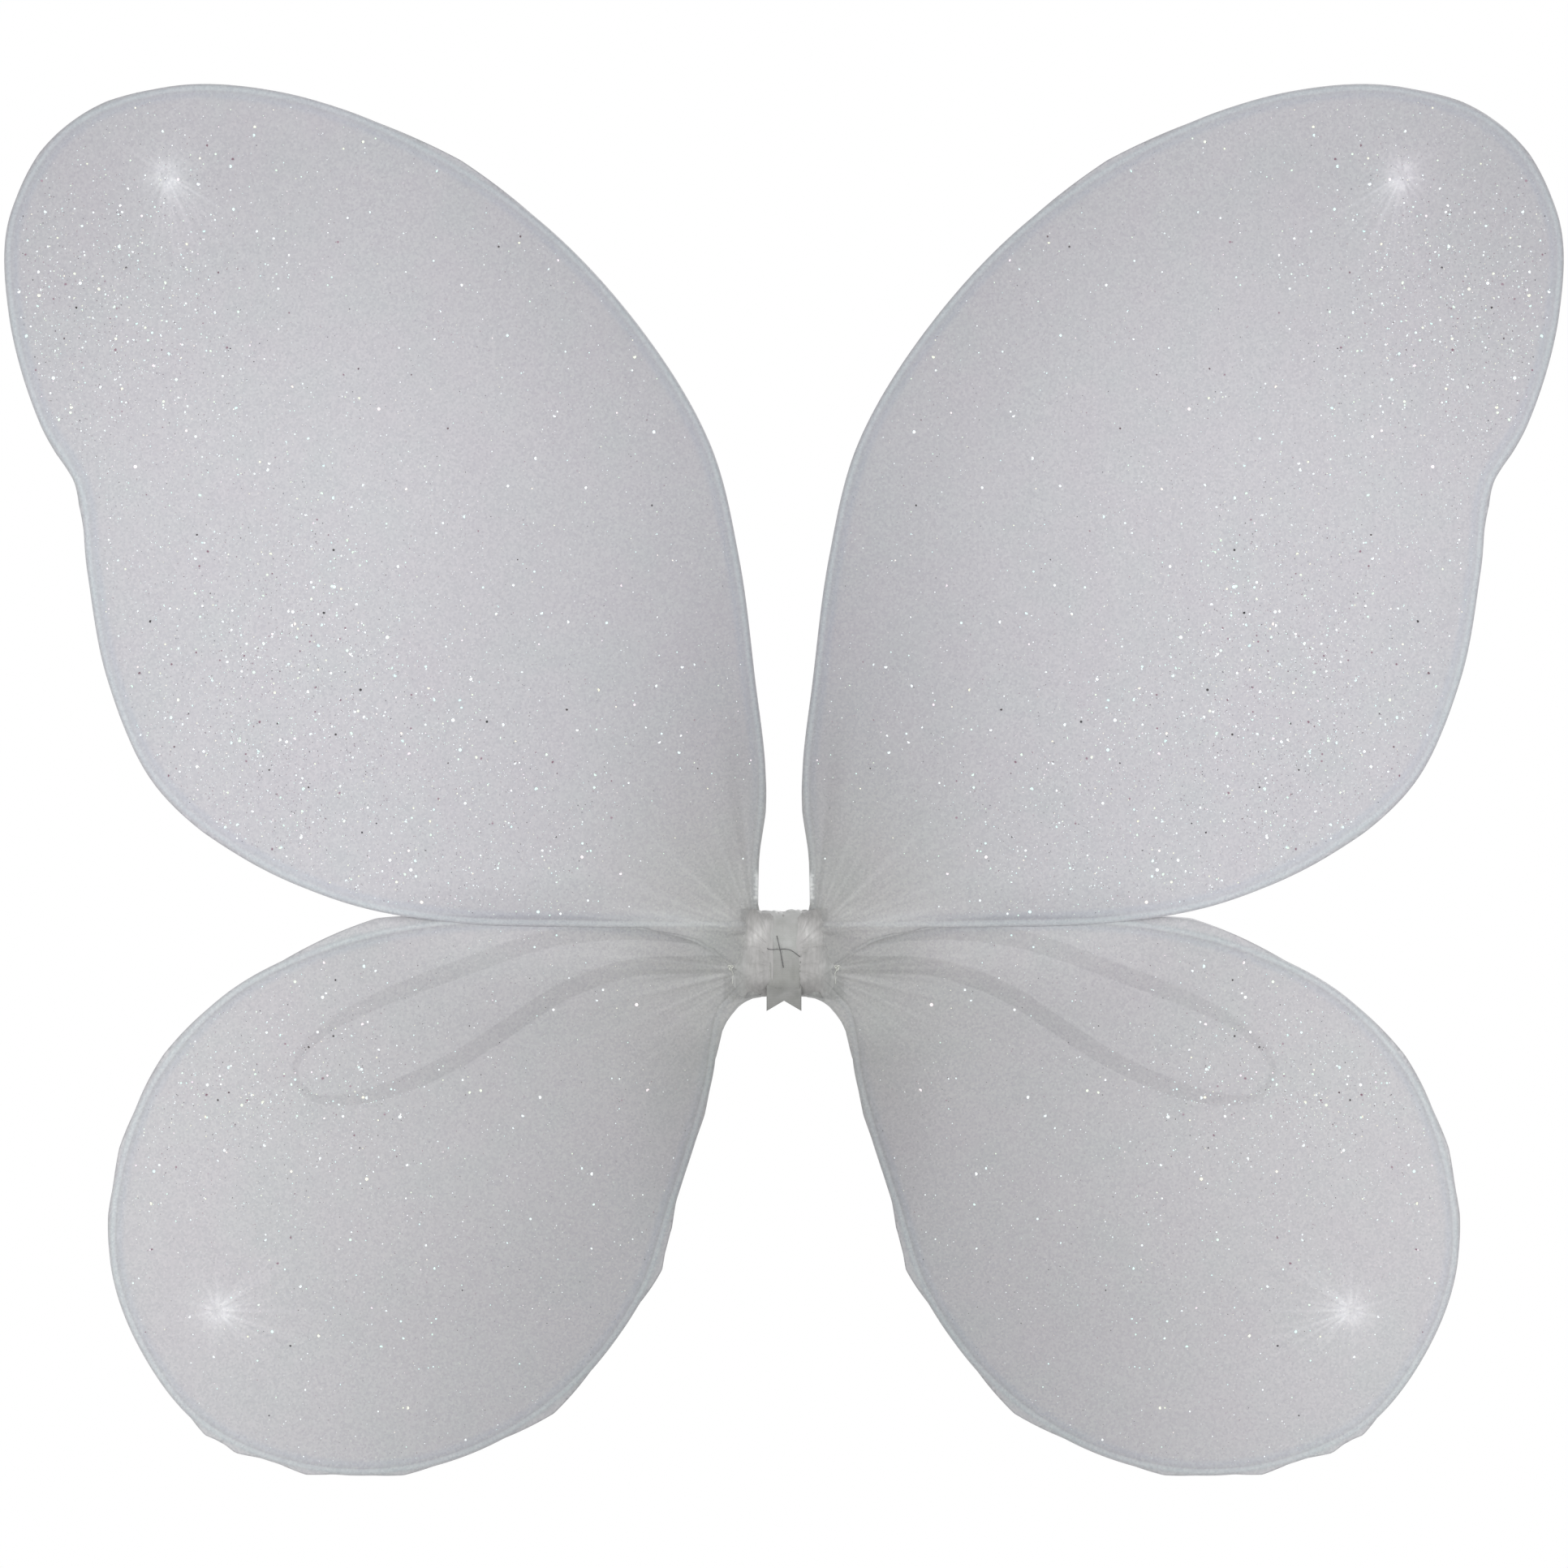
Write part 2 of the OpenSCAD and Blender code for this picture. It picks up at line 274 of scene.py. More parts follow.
def new_object(name, vertices, faces, material):
    mesh = bpy.data.meshes.new(name)
    mesh.from_pydata([tuple(v) for v in vertices], [], [tuple(f) for f in faces])
    mesh.validate()
    mesh.update()
    mesh.polygons.foreach_set("use_smooth", [True] * len(mesh.polygons))
    mesh.materials.append(material)
    return placed(bpy.data.objects.new(name, mesh))


def on_side(side, vertices, faces):
    """The right-hand shape, or its mirror image for the left."""
    if side == "right":
        return vertices, faces
    return vertices * [-1, 1, 1], [face[::-1] for face in faces]


def paint(obj, values):
    """Stores a tone for each vertex, which the materials read."""
    rgba = np.ones((len(obj.data.vertices), 4), np.float32)
    rgba[:, :3] = values
    layer = obj.data.attributes.new("tone", "FLOAT_COLOR", "POINT")
    layer.data.foreach_set("color", rgba.ravel())


def swept(path, profile, closed=False):
    """Vertices and faces of a tube: profile(i) gives the section at point i as offsets from it."""
    count = len(path)
    rings = [path[i] + profile(i) for i in range(count)]
    n = len(rings[0])
    faces = []
    for i in range(count if closed else count - 1):
        k = (i + 1) % count
        faces += [(i * n + j, i * n + (j + 1) % n, k * n + (j + 1) % n, k * n + j) for j in range(n)]
    if not closed:
        faces.append(tuple(range(n))[::-1])
        faces.append(tuple((count - 1) * n + j for j in range(n)))
    return np.vstack(rings), faces


def frames(path):
    """Two unit vectors across a 3-D line at each point, turned as little as possible along it."""
    d = directions(path)
    oblique = [0.3, 0.2, 1.0]  # along none of the lines
    first = np.cross(d[0], oblique)
    a = [first / np.linalg.norm(first)]
    for i in range(1, len(path)):
        v = a[-1] - d[i] * (a[-1] @ d[i])
        a.append(v / np.linalg.norm(v))
    a = np.array(a)
    return a, np.cross(d, a)


def tube(path, radius, sides=12):
    """A round tube along a 3-D line."""
    a, b = frames(path)
    around = circle(turns(sides))

    def profile(i):
        return around @ np.stack([a[i], b[i]]) * radius

    return swept(path, profile)


def joined(*parts):
    """Several shapes as one."""
    vertices, faces, base = [], [], 0
    for v, f in parts:
        vertices.append(v)
        faces += [tuple(k + base for k in face) for face in f]
        base += len(v)
    return np.vstack(vertices), faces


# ---- materials


def linear(level):
    """Linear light for a grey level or colour given from 0 to 255 as displays show it."""
    c = np.asarray(level, float) / 255
    return np.where(c <= 0.04045, c / 12.92, ((c + 0.055) / 1.055) ** 2.4)


class Nodes:
    """A material's nodes, linked as they are made."""

    def __init__(self, name):
        self.material = bpy.data.materials.new(name)
        self.material.use_nodes = True
        self.tree = self.material.node_tree
        self.shader = self.tree.nodes["Principled BSDF"]
        self.place = self.add("ShaderNodeTexCoord").outputs["Object"]

    def add(self, kind, inputs=None, **settings):
        node = self.tree.nodes.new(kind)
        for key, value in settings.items():
            setattr(node, key, value)
        for key, value in (inputs or {}).items():
            self.put(node.inputs[key], value)
        return node

    def put(self, socket, value):
        if isinstance(value, bpy.types.NodeSocket):
            self.tree.links.new(value, socket)
        else:
            socket.default_value = value

    def painted(self):
        """The tone stored on the mesh."""
        return self.add("ShaderNodeAttribute", attribute_name="tone").outputs["Color"]

    def chance(self):
        """A random number for each loose piece of the mesh."""
        return self.add("ShaderNodeNewGeometry").outputs["Random Per Island"]

    def noise(self, scale, detail=2, stretched=(1, 1, 1)):
        """Noise of this scale, finer or coarser along X, Y and Z."""
        place = self.place
        if stretched != (1, 1, 1):
            place = self.add("ShaderNodeMapping", {"Vector": place, "Scale": stretched}).outputs["Vector"]
        inputs = {"Vector": place, "Scale": scale, "Detail": detail}
        return self.add("ShaderNodeTexNoise", inputs).outputs["Fac"]

    def cells(self, scale):
        inputs = {"Vector": self.place, "Scale": scale}
        return self.add("ShaderNodeTexVoronoi", inputs).outputs["Color"]

    def bands(self, direction, scale, distortion, detail):
        inputs = {"Vector": self.place, "Scale": scale, "Distortion": distortion, "Detail": detail}
        return self.add("ShaderNodeTexWave", inputs, bands_direction=direction).outputs["Fac"]

    def ramp(self, value, stops):
        """A colour for each value. A stop is a place and a colour, or a place and a grey."""
        node = self.add("ShaderNodeValToRGB", {"Fac": value})
        elements = node.color_ramp.elements
        elements.remove(elements[1])
        elements[0].position = stops[0][0]
        for k, (at, colour) in enumerate(stops):
            element = elements.new(at) if k else elements[0]
            element.color = (*np.broadcast_to(colour, 3), 1)
        return node.outputs["Color"]

    def times(self, a, b):
        """Two colours multiplied."""
        node = self.add("ShaderNodeMix", data_type="RGBA", blend_type="MULTIPLY")
        for number, value in ((0, 1.0), (6, a), (7, b)):
            self.put(node.inputs[number], value)
        return node.outputs[2]

    def bump(self, height, distance, strength):
        inputs = {"Height": height, "Distance": distance, "Strength": strength}
        self.put(self.shader.inputs["Normal"], self.add("ShaderNodeBump", inputs).outputs["Normal"])

    def finish(self, **values):
        for key, value in values.items():
            self.put(self.shader.inputs[key.replace("_", " ")], value)
        return self.material


def nylon_material():
    """Sheer knitted nylon: painted tone, drifting tint, fine sparkle dust, and the knit's own relief."""
    n = Nodes("sheer_nylon")
    drift = n.ramp(n.noise(55, 3), [(0.3, (0.978, 1.0, 0.99)), (0.5, 1), (0.7, (1.0, 0.984, 0.995))])
    dust = n.ramp(n.cells(1500), [(0.0, (0.88, 0.88, 0.9)), (0.5, 1), (1.0, (1.12, 1.12, 1.1))])
    colour = n.times(n.times(n.painted(), drift), dust)
    knit = n.noise(1.0, 2, (2600, 2600, 1300))
    n.bump(knit, 0.00012, 0.5)
    return n.finish(
        Base_Color=colour, Roughness=0.5, Alpha=CLOTH_ALPHA, Sheen_Weight=0.15, Sheen_Roughness=0.4
    )


def bunched_material():
    """Nylon gathered so close that little light comes through: painted tone with fine streaks."""
    n = Nodes("bunched_nylon")
    streak = n.noise(1.0, 4, (900, 900, 160))
    streaks = n.ramp(streak, [(0.3, (0.84, 0.85, 0.84)), (0.55, 1), (0.75, 1.12)])
    n.bump(streak, 0.0004, 0.6)
    return n.finish(Base_Color=n.times(n.painted(), streaks), Roughness=0.6, Sheen_Weight=0.2)


def wire_material():
    """Plastic-coated wire, pale blue-white."""
    n = Nodes("coated_wire")
    colour = n.ramp(n.noise(180, 3), [(0.35, (0.8, 0.86, 0.9)), (0.65, (0.88, 0.92, 0.95))])
    n.bump(n.noise(900, 2), 0.00006, 0.5)
    return n.finish(Base_Color=colour, Roughness=0.35, Coat_Weight=0.2)


def ribbon_material():
    """Satin ribbon, soft grey-green: fine ribs across it, darker over the top and towards its cut end."""
    n = Nodes("satin_ribbon")
    height = n.add("ShaderNodeSeparateXYZ", {"Vector": n.place}).outputs["Z"]
    inputs = {"Value": height, "From Min": -19 * MM, "From Max": 15 * MM}
    share = n.add("ShaderNodeMapRange", inputs).outputs["Result"]
    tones = [
        (0.0, (0.207, 0.207, 0.199)), (0.19, (0.24, 0.24, 0.232)), (0.32, (0.283, 0.283, 0.271)),
        (0.5, (0.3, 0.298, 0.289)), (0.68, (0.398, 0.403, 0.393)), (0.85, (0.355, 0.353, 0.346)),
        (0.96, (0.43, 0.43, 0.425)), (1.0, (0.36, 0.36, 0.355)),
    ]
    cloud = n.ramp(n.noise(260, 4), [(0.3, (0.9, 0.91, 0.89)), (0.7, 1.08)])
    colour = n.times(n.ramp(share, tones), cloud)
    n.bump(n.bands("Z", 420, 1.2, 1), 0.00006, 0.5)
    return n.finish(Base_Color=colour, Roughness=0.5, Sheen_Weight=0.2)


def elastic_material():
    """Braided elastic: ribs along it and a chevron of threads across them."""
    n = Nodes("braided_elastic")
    braid = n.bands("DIAGONAL", 330, 2, 2)
    colour = n.ramp(braid, [(0.2, (0.56, 0.55, 0.49)), (0.8, (0.74, 0.73, 0.67))])
    n.bump(braid, 0.0002, 0.8)
    return n.finish(Base_Color=colour, Roughness=0.7, Sheen_Weight=0.1)


def thread_material(name, dark, light):
    """Twisted thread between two tones."""
    n = Nodes(name)
    twist = n.noise(1500, 2)
    colour = n.ramp(twist, [(0.3, dark), (0.7, light)])
    n.bump(twist, 0.0001, 0.8)
    return n.finish(Base_Color=colour, Roughness=0.6)


def glitter_material(name, tints, **values):
    """Glitter whose flakes each take a tint by chance, and glow in that tint where an emission strength is
    given: a painted glint.
    """
    n = Nodes(name)
    colour = n.ramp(n.chance(), tints)
    if "Emission_Strength" in values:
        values["Emission_Color"] = colour
    return n.finish(Base_Color=colour, **values)


NYLON = nylon_material()
BUNCHED = bunched_material()
WIRE = wire_material()
RIBBON = ribbon_material()
ELASTIC = elastic_material()
PALE_THREAD = thread_material("pale_thread", (0.4, 0.4, 0.38), (0.56, 0.56, 0.53))
KNOT_THREAD = thread_material("knot_thread", (0.52, 0.53, 0.49), (0.68, 0.69, 0.64))
DARK_THREAD = thread_material("dark_thread", 0.05, 0.16)
IRIDESCENT = [
    (0.0, (0.95, 0.98, 0.99)), (0.45, (0.9, 0.98, 0.99)), (0.62, (0.74, 0.99, 0.97)),
    (0.78, (0.79, 0.98, 0.82)), (0.9, (0.98, 0.96, 0.76)), (0.97, (0.98, 0.86, 0.93)),
]
DARK_SIDES = [
    (0.0, (0.02, 0.02, 0.025)), (0.3, (0.05, 0.04, 0.04)), (0.5, (0.24, 0.14, 0.18)),
    (1.0, (0.34, 0.24, 0.29)),
]
# The pale flakes glow a little: a painted glint.
FLAKES = glitter_material(
    "light_glitter", IRIDESCENT, Roughness=0.25, Coat_Weight=0.6, Coat_Roughness=0.1, Emission_Strength=0.12
)
SPECKS = glitter_material("dark_glitter", DARK_SIDES, Roughness=0.35)

# ---- pieces

FOLDING = "folding"  # stands for a body: the piece rides on no body, with its place baked into its mesh


def add_piece(name, shape, material, body, replaced=(), side="right", tone=None):
    """A piece of the object, which rides on a body, or for FOLDING on none, with its place baked into its
    mesh.
    """
    obj = new_object(name, *on_side(side, *shape), material)
    if tone is not None:
        paint(obj, tone)
    if body == FOLDING:
        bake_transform(obj)
    else:
        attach(obj, body)
    if replaced:
        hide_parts(*replaced)
    return obj


# ---- wings


class Wing:
    """One wing's cloth and wire, drawn on the right. Upper and Lower hold what differs between the two."""

    def __init__(self):
        self.root = np.array(self.root_at) * MM
        self.tie = np.array(self.tie_at) * MM
        self.wire = wire_line(self.feet, self.bends)
        self.outline = self.edge(self.slack, np.array(self.ending, float) * MM)
        self.ring = np.vstack([self.outline, self.outline[:1]])
        self.fan = self.rays(self.fan_arc, self.root, 44, (8, 40), self.seed)
        self.furrows = self.rays(self.fan_arc, self.root, 37, (6, 34), self.seed + 12)
        self.star = self.rays((0, 360), self.tie, 34, (2, 6), self.seed + 1)
        self.long_star = self.rays(self.star_arc, self.tie, 15, (8, 17), self.seed + 2)

    def edge(self, slack, ending):
        """The cloth's edge: outside the wire, slack here and there, and closed round the root."""
        width = np.full(len(self.wire), EDGE)
        along = spaced(self.wire)
        for place, reach, extra in slack:
            _, at = nearest(np.array([place]) * MM, self.wire)
            share = 1 - np.abs(along - along[at[0]]) / (reach * MM)
            width += np.clip(share, 0, 1) * extra * MM
        outer = self.wire + outward(self.wire) * width[:, None]
        first = lengths(outer - ending[-1]).argmin()
        last = lengths(outer - ending[0]).argmin()
        closed = np.vstack([outer[first : last + 1], ending, outer[first]])
        return resampled(closed, 1.1 * MM)[:-1]

    def rays(self, arc, centre, count, reach, seed):
        """Creases that run out from a centre: their angles, lengths and heights."""
        rng = np.random.default_rng(seed)
        angle = np.radians(np.linspace(arc[0], arc[1], count, endpoint=False))
        angle += rng.normal(0, 0.25, count) * math.radians((arc[1] - arc[0]) / count)
        length = rng.uniform(*reach, count) * MM
        height = rng.uniform(0.35, 1.0, count)
        return centre, angle, length, height

    def crease(self, points, rays, start_width, widening):
        """Sum of the creases at each point, 1 on the crest of a full one."""
        centre, angle, length, height = rays
        off = points - centre
        r = lengths(off)
        a = np.arctan2(off[:, 1], off[:, 0])
        total = np.zeros(len(points))
        for angle_k, length_k, height_k in zip(angle, length, height):
            off_line = (a - angle_k + math.pi) % math.tau - math.pi
            across = np.abs(off_line) * r / (start_width + widening * r)
            total += height_k * np.exp(-across * across - r / length_k)
        return 1.5 * (1 - np.exp(-total))

    def surfaces(self, points):
        """How far the front and back layers stand from the wing's plane, and their tone."""
        rim, _ = nearest(points, self.ring)
        q, _ = nearest(points, self.wire)
        beyond = ~inside(points, self.wire)
        softer = 2.2 * MM * bell(lengths(points - self.root), 45 * MM)
        slack_h = 0.3 * MM + 1.0 * MM * bell(q, 1.05 * MM + softer)
        taut_h = 0.95 * MM + 0.35 * MM * bell(q, 2.6 * MM)
        h = np.where(beyond, slack_h, taut_h)
        drift = waves(points, 55 * MM, self.seed) * 0.9 * MM * smooth(q, 6 * MM, 40 * MM)
        front = h + drift * 0.6 + self.lift(points)
        back = h - drift * 0.6
        front, back, fan = self.gathered(points, front, back)
        r = lengths(points - self.tie)
        star = self.crease(points, self.star, 0.2 * MM, 0.05) * smooth(r, 0, 3 * MM)
        star = star + self.crease(points, self.long_star, 0.25 * MM, 0.013) * smooth(r, 0, 5 * MM)
        dimple = bell(r, 3.6 * MM)
        front = front - dimple * front * 0.5 + star * 0.3 * MM
        back = back + dimple * 1.2 * MM + star * 0.2 * MM
        edge = rounded(rim / MM)
        return front * edge, back * edge, self.tone(points, q, rim, beyond, fan, star, dimple)

    def gathered(self, points, front, back):
        """The layers where the sleeve is drawn together into the bunch on the fold axis."""
        x, z = points[:, 0], points[:, 1]
        fan = self.crease(points, self.fan, 0.22 * MM, 0.016)
        other = self.crease(points + [0.5 * MM, 0.3 * MM], self.fan, 0.3 * MM, 0.02)
        above = np.abs(z - np.clip(z, *sorted((self.up * 0.8 * MM, self.up * 13.2 * MM))))
        aside = np.abs(x - FOLD_X)
        from_bunch = np.hypot(aside, above)
        waist = bell(np.abs(z) - WAIST, 1.3 * MM)
        radius = BUNCH_R * (1.12 - 0.16 * waist)
        column = np.sqrt(np.maximum(radius**2 - aside**2, 0)) * bell(above, 2.5 * MM)
        column = column * (1 + 0.1 * np.cos(x / MM * 5.5 + z / MM * 0.4) * (1 - waist))
        middle = (FOLD_DEPTH - self.depth) * smooth(radius - aside, 0, 0.9 * MM) * smooth(-above, -3 * MM, 0)
        reach = bell(from_bunch, 15 * MM)
        near = bell((from_bunch / (4 * MM)) ** 2, 1) * (0.4 + 0.6 * waist)
        front = (front + reach * 0.5 * MM + fan * 0.7 * MM) * (1 - near)
        back = (back + reach * 0.4 * MM + other * 0.45 * MM) * (1 - near)
        return np.maximum(front, column + middle), np.maximum(back, column - middle), fan

    def tone(self, points, q, rim, beyond, fan, star, dimple):
        """Each point's colour, before light falls on it: partly the cloth's own, partly painted light and
        shade.
        """
        x, z = points[:, 0] / MM, points[:, 1] / MM
        r = lengths(points - self.root) / MM
        from_tie = lengths(points - self.tie) / MM
        warm = bell(r, 48)
        cool = 1 - warm
        # Streaks from the root: painted light along the fan's crests and painted shade along the furrows,
        # partly the gathered nylon's own grey.
        furrow_shade = self.crease(points, self.furrows, 0.15 * MM, 0.013)
        streaks = 20 * np.clip(fan, 0, 1.2) - 18 * np.clip(furrow_shade, 0, 1.2) - 1
        over_wire = bell(q, 0.9 * MM)
        # Painted shade just inside the wire: a faint bluish band a little way in, and a thinner dark line
        # next to the wire.
        shade_beside_wire = bell(q - 2.3 * MM, 1.0 * MM) * ~beyond
        line = bell(q - 1.15 * MM, 0.25 * MM) * ~beyond
        slack = smooth(q, 0.9 * MM, 1.5 * MM) * beyond
        level = self.level(x, z) - 5 * bell(r, 26) + self.root_tone(x, z, rim, beyond)
        level = level + self.streaking * streaks * smooth(r, 4, 12) * bell(r, 60)
        level = level + 24 * np.clip(star, 0, 1.2) + 20 * dimple + 6 * bell(from_tie, 9)
        level = level + 10 * over_wire * (1 - 0.7 * warm) - 4 * shade_beside_wire - self.edge_line * line
        # Painted light where the lower cloth comes forward, against the shadow under the upper wing's edge.
        level = level + 7 * slack + 1.5 * self.lift(points) / MM
        tint = np.outer(cool, [0.5, -0.5, self.blue]) + np.outer(warm, [0, 0.3, -1.2])
        tint = tint + np.outer(shade_beside_wire * cool, [-3, 0, 3]) + np.outer(over_wire * cool, [-3, 2, 1])
        shown = linear(np.clip(level[:, None] + tint, 60, 248))
        through = (1 - CLOTH_ALPHA) ** 2
        return np.clip((shown - through) / (1 - through), 0.02, 0.97) / LIGHT


class Upper(Wing):
    """The upper wing, whose sleeve ends over the lower wing's."""

    name = "upper"
    up = 1
    depth = UPPER_DEPTH
    seed = 11
    feet, bends, slack = UPPER_FEET, UPPER_BENDS, UPPER_SLACK
    ending = [
        (48, 9.0), (42.5, 7.3), (36, 6.5), (29.3, 4.6), (24.2, 1.6), (20.4, -1.8), (17.4, -4.2),
        (14.5, -4.4), (12.4, -1), (7.4, 1.0), (7.3, 8), (8.4, 16),
    ]
    root_at, fan_arc = (10, 7.5), (-6, 102)
    tie_at, star_arc = (206, 260), (-150, -70)
    # The first number is the depth of the painted shade line just inside the wire; the second, of the crease
    # streaks' painted light and shade.
    edge_line, streaking, blue = 5, 1.0, 4

    def lift(self, points):
        return np.zeros(len(points))

    def level(self, x, z):
        """The grey that the cloth shows over white, from 0 to 255: painted light fall-off, darker towards
        the hub, the top and the far tip; near the hub partly the denser nylon's own grey.
        """
        level = 206 - 22 * np.clip((150 - x) / 130, 0, 1) ** 1.4 - 5 * smooth(x, 190, 260)
        near_hub = np.clip((70 - x) / 70, 0, 1) * (1 - smooth(z, 60, 170))
        return level - 15 * smooth(z, 150, 285) - 10 * near_hub

    def root_tone(self, x, z, rim, beyond):
        """Extra tone near the hub: bands along the wire, lumps and a frayed edge; painted highlights along
        the lower edge, and painted shade in a hollow and in a corner.
        """
        band = 8 * bell(z - 12.5, 3.2) * stretch(x, (14, 22), (35, 55))
        overlap = 7 * (1 - smooth(z, 15, 27)) + 5 * (1 - smooth(z, 12, 14.5))
        overlap = overlap * stretch(x, (48, 75), (105, 145))
        # Painted highlights along the lower edge, against the shade under its rounded rim.
        lit_edge = 26 * np.exp(-rim / (0.6 * MM)) * stretch(x, (38, 60), (120, 150)) * (z < 16)
        painted_rim_light = 6 * np.exp(-rim / (0.5 * MM)) * (beyond & (x > 12) & (z < 11))
        lumps = 16 * spot(x, z, (11, 5.5), (2.4, 2.6)) + 11 * spot(x, z, (33, 8), (10, 3))
        # Painted shade in a hollow beside the inner wire, and in the corner by the hub.
        hollow_shade = 6 * bell(x - 15, 5) * stretch(z, (22, 38), (60, 100))
        ragged = 9.6 + 0.3 * np.sin(z * 4.1) + 0.2 * np.sin(z * 9.7)
        frayed = 60 * smooth(ragged - x, -0.5, 0.7) * stretch(z, (16, 19), (25, 29))
        corner_shade = spot(x, z, (8.5, 14.5), (2.6, 3)) + bell(x - 10.3, 0.6) * stretch(z, (15, 17), (24, 29))
        return band - overlap + lit_edge + painted_rim_light + lumps - hollow_shade + frayed - 11 * corner_shade


class Lower(Wing):
    """The lower wing, whose front layer swells up to the upper wing's edge."""

    name = "lower"
    up = -1
    depth = LOWER_DEPTH
    seed = 23
    feet, bends, slack = LOWER_FEET, LOWER_BENDS, LOWER_SLACK
    ending = [
        (22.7, -34.5), (21.8, -31), (20.6, -25.8), (19.3, -22.9), (17.5, -20.3), (15.2, -17.6),
        (12.9, -15.9), (10.3, -14.8), (7.2, -14.3), (7.2, -2), (9, 4), (14, 8.6), (30, 10), (50, 10.9),
    ]
    root_at, fan_arc = (10, -5), (-118, 38)
    tie_at, star_arc = (189.5, -119), (-230, -120)
    # The first number is the depth of the painted shade line just inside the wire; the second, of the crease
    # streaks' painted light and shade.
    edge_line, streaking, blue = 12, 0.7, 2.4

    def lift(self, points):
        """How far the front layer comes forward to meet the upper wing's edge."""
        gap, _ = nearest(points, UPPER.ring)
        under = inside(points, UPPER.outline)
        near = np.where(under, 1 - smooth(gap, 0, 3.5 * MM), bell(gap, 13 * MM))
        return LIFT * near * (1 - smooth(points[:, 0], 120 * MM, 155 * MM))

    def level(self, x, z):
        """The grey that the cloth shows over white, from 0 to 255: painted light fall-off, darker towards
        the hub and the bottom; near the hub partly the denser nylon's own grey.
        """
        level = 174 + 33 * smooth(x, -10, 225)
        return level - 5 * smooth(-z, 60, 175) * (1 - 0.5 * smooth(x, 100, 200))

    def root_tone(self, x, z, rim, beyond):
        """Extra tone near the hub: a pale strip and a dark inner edge; painted light on the upper part,
        against the shadow under the upper wing's edge, and painted shade in a corner and a hollow.
        """
        # Painted light where the upper wing's edge shades the cloth below it.
        light_under_upper_edge = 9 * bell(z - 2, 12) * stretch(x, (35, 60), (90, 150))
        strip = 12 * spot(x, z, (18, -4.6), (3, 1.8))
        # Painted shade in the corner by the hub and in a hollow near the root.
        corner_shade = 12 * spot(x, z, (12, -13), (6, 5))
        inner = 10 * (1 - smooth(x, 28, 60)) * stretch(-z, (20, 35), (70, 110))
        hollow_shade = 4 * spot(x, z, (33, -1), (13, 7))
        return light_under_upper_edge + strip - corner_shade - inner - hollow_shade


UPPER = Upper()
LOWER = Lower()
WINGS = (UPPER, LOWER)


def spread_points(wing):
    """Points over a wing's cloth: rows beside the wire, an even field, and close rings at root and tie."""
    low, high = wing.outline.min(axis=0), wing.outline.max(axis=0)
    step = 2.6 * MM
    row_step = step * math.sqrt(0.75)
    gx, gz = np.meshgrid(np.arange(low[0], high[0], step), np.arange(low[1], high[1], row_step))
    gx = gx + (np.arange(len(gx)) % 2)[:, None] * step / 2
    out = outward(wing.wire)
    rows = [resampled(wing.wire + out * gap * MM, 0.8 * MM) for gap in (0, 0.75, -0.75, -1.15)]
    centred = [rings(wing.root, 2, 60, 0.42, 0.016), rings(wing.tie, 0.5, 30, 0.26, 0.02)]
    loose = [wing.outline - outward(wing.outline) * 0.55 * MM]
    for gap in (1.5, -1.7, -2.6, -4.2):
        loose.append(resampled(wing.wire + out * gap * MM, (1.0 + abs(gap) * 0.25) * MM))
    loose.append(np.column_stack([gx.ravel(), gz.ravel()]))
    return thinned(wing, rows + centred, loose)


def rings(centre, first, last, spacing, growth):
    """Points on rings round a centre, all in millimetres but the centre."""
    points = []
    r = first
    while r < last:
        gap = spacing + growth * r
        count = round(math.tau * r / gap)
        turn = (np.arange(count) + (len(points) % 2) / 2) / count * math.tau
        points.append(centre + r * MM * circle(turn))
        r += gap * 1.5
    return np.vstack(points)


def thinned(wing, fixed, loose):
    """The points inside the cloth's edge: all the fixed ones, and loose ones not too near any others."""
    kept = []
    taken = set()
    cell, margin = 0.45 * MM, 0.35 * MM
    for number, group in enumerate(fixed + loose):
        rim, _ = nearest(group, wing.ring)
        for p in group[inside(group, wing.outline) & (rim > margin)]:
            key = (round(p[0] / cell), round(p[1] / cell))
            around = [(key[0] + i, key[1] + j) for i in (-1, 0, 1) for j in (-1, 0, 1)]
            if number < len(fixed) or not any(k in taken for k in around):
                taken.add(key)
                kept.append(p)
    return np.array(kept)


def cloth(wing):
    """A sleeve's two layers as one closed skin, and the tone of each point."""
    edge_count = len(wing.outline)
    in_mm = 1000  # the triangulation's tolerance suits millimetres
    every = [Vector(p) for p in np.vstack([wing.outline, spread_points(wing)]) * in_mm]
    edges = [(i, (i + 1) % edge_count) for i in range(edge_count)]
    flat, _, faces, *_ = geometry.delaunay_2d_cdt(every, edges, [], 1, 1e-5)
    flat = np.array(flat) / in_mm
    front, back, tone = wing.surfaces(flat)
    rim, _ = nearest(flat, wing.ring)
    on_edge = rim < 1e-6
    count = len(flat)
    back_id = np.arange(count) + count
    back_id[on_edge] = np.flatnonzero(on_edge)
    front[on_edge] = 0
    layers = [np.insert(flat, 1, -wing.depth + out, axis=1) for out in (-front, back)]
    facing = [f if winding(flat, f) > 0 else f[::-1] for f in faces if not on_edge[list(f)].all()]
    behind = [tuple(int(back_id[k]) for k in f[::-1]) for f in facing]
    return compact(np.vstack(layers), facing + behind, np.vstack([tone, tone]))


def winding(points, face):
    """Above zero where a flat face runs one way round, below where it runs the other."""
    a, b, c = (points[k] for k in face[:3])
    return (b[0] - a[0]) * (c[1] - a[1]) - (b[1] - a[1]) * (c[0] - a[0])


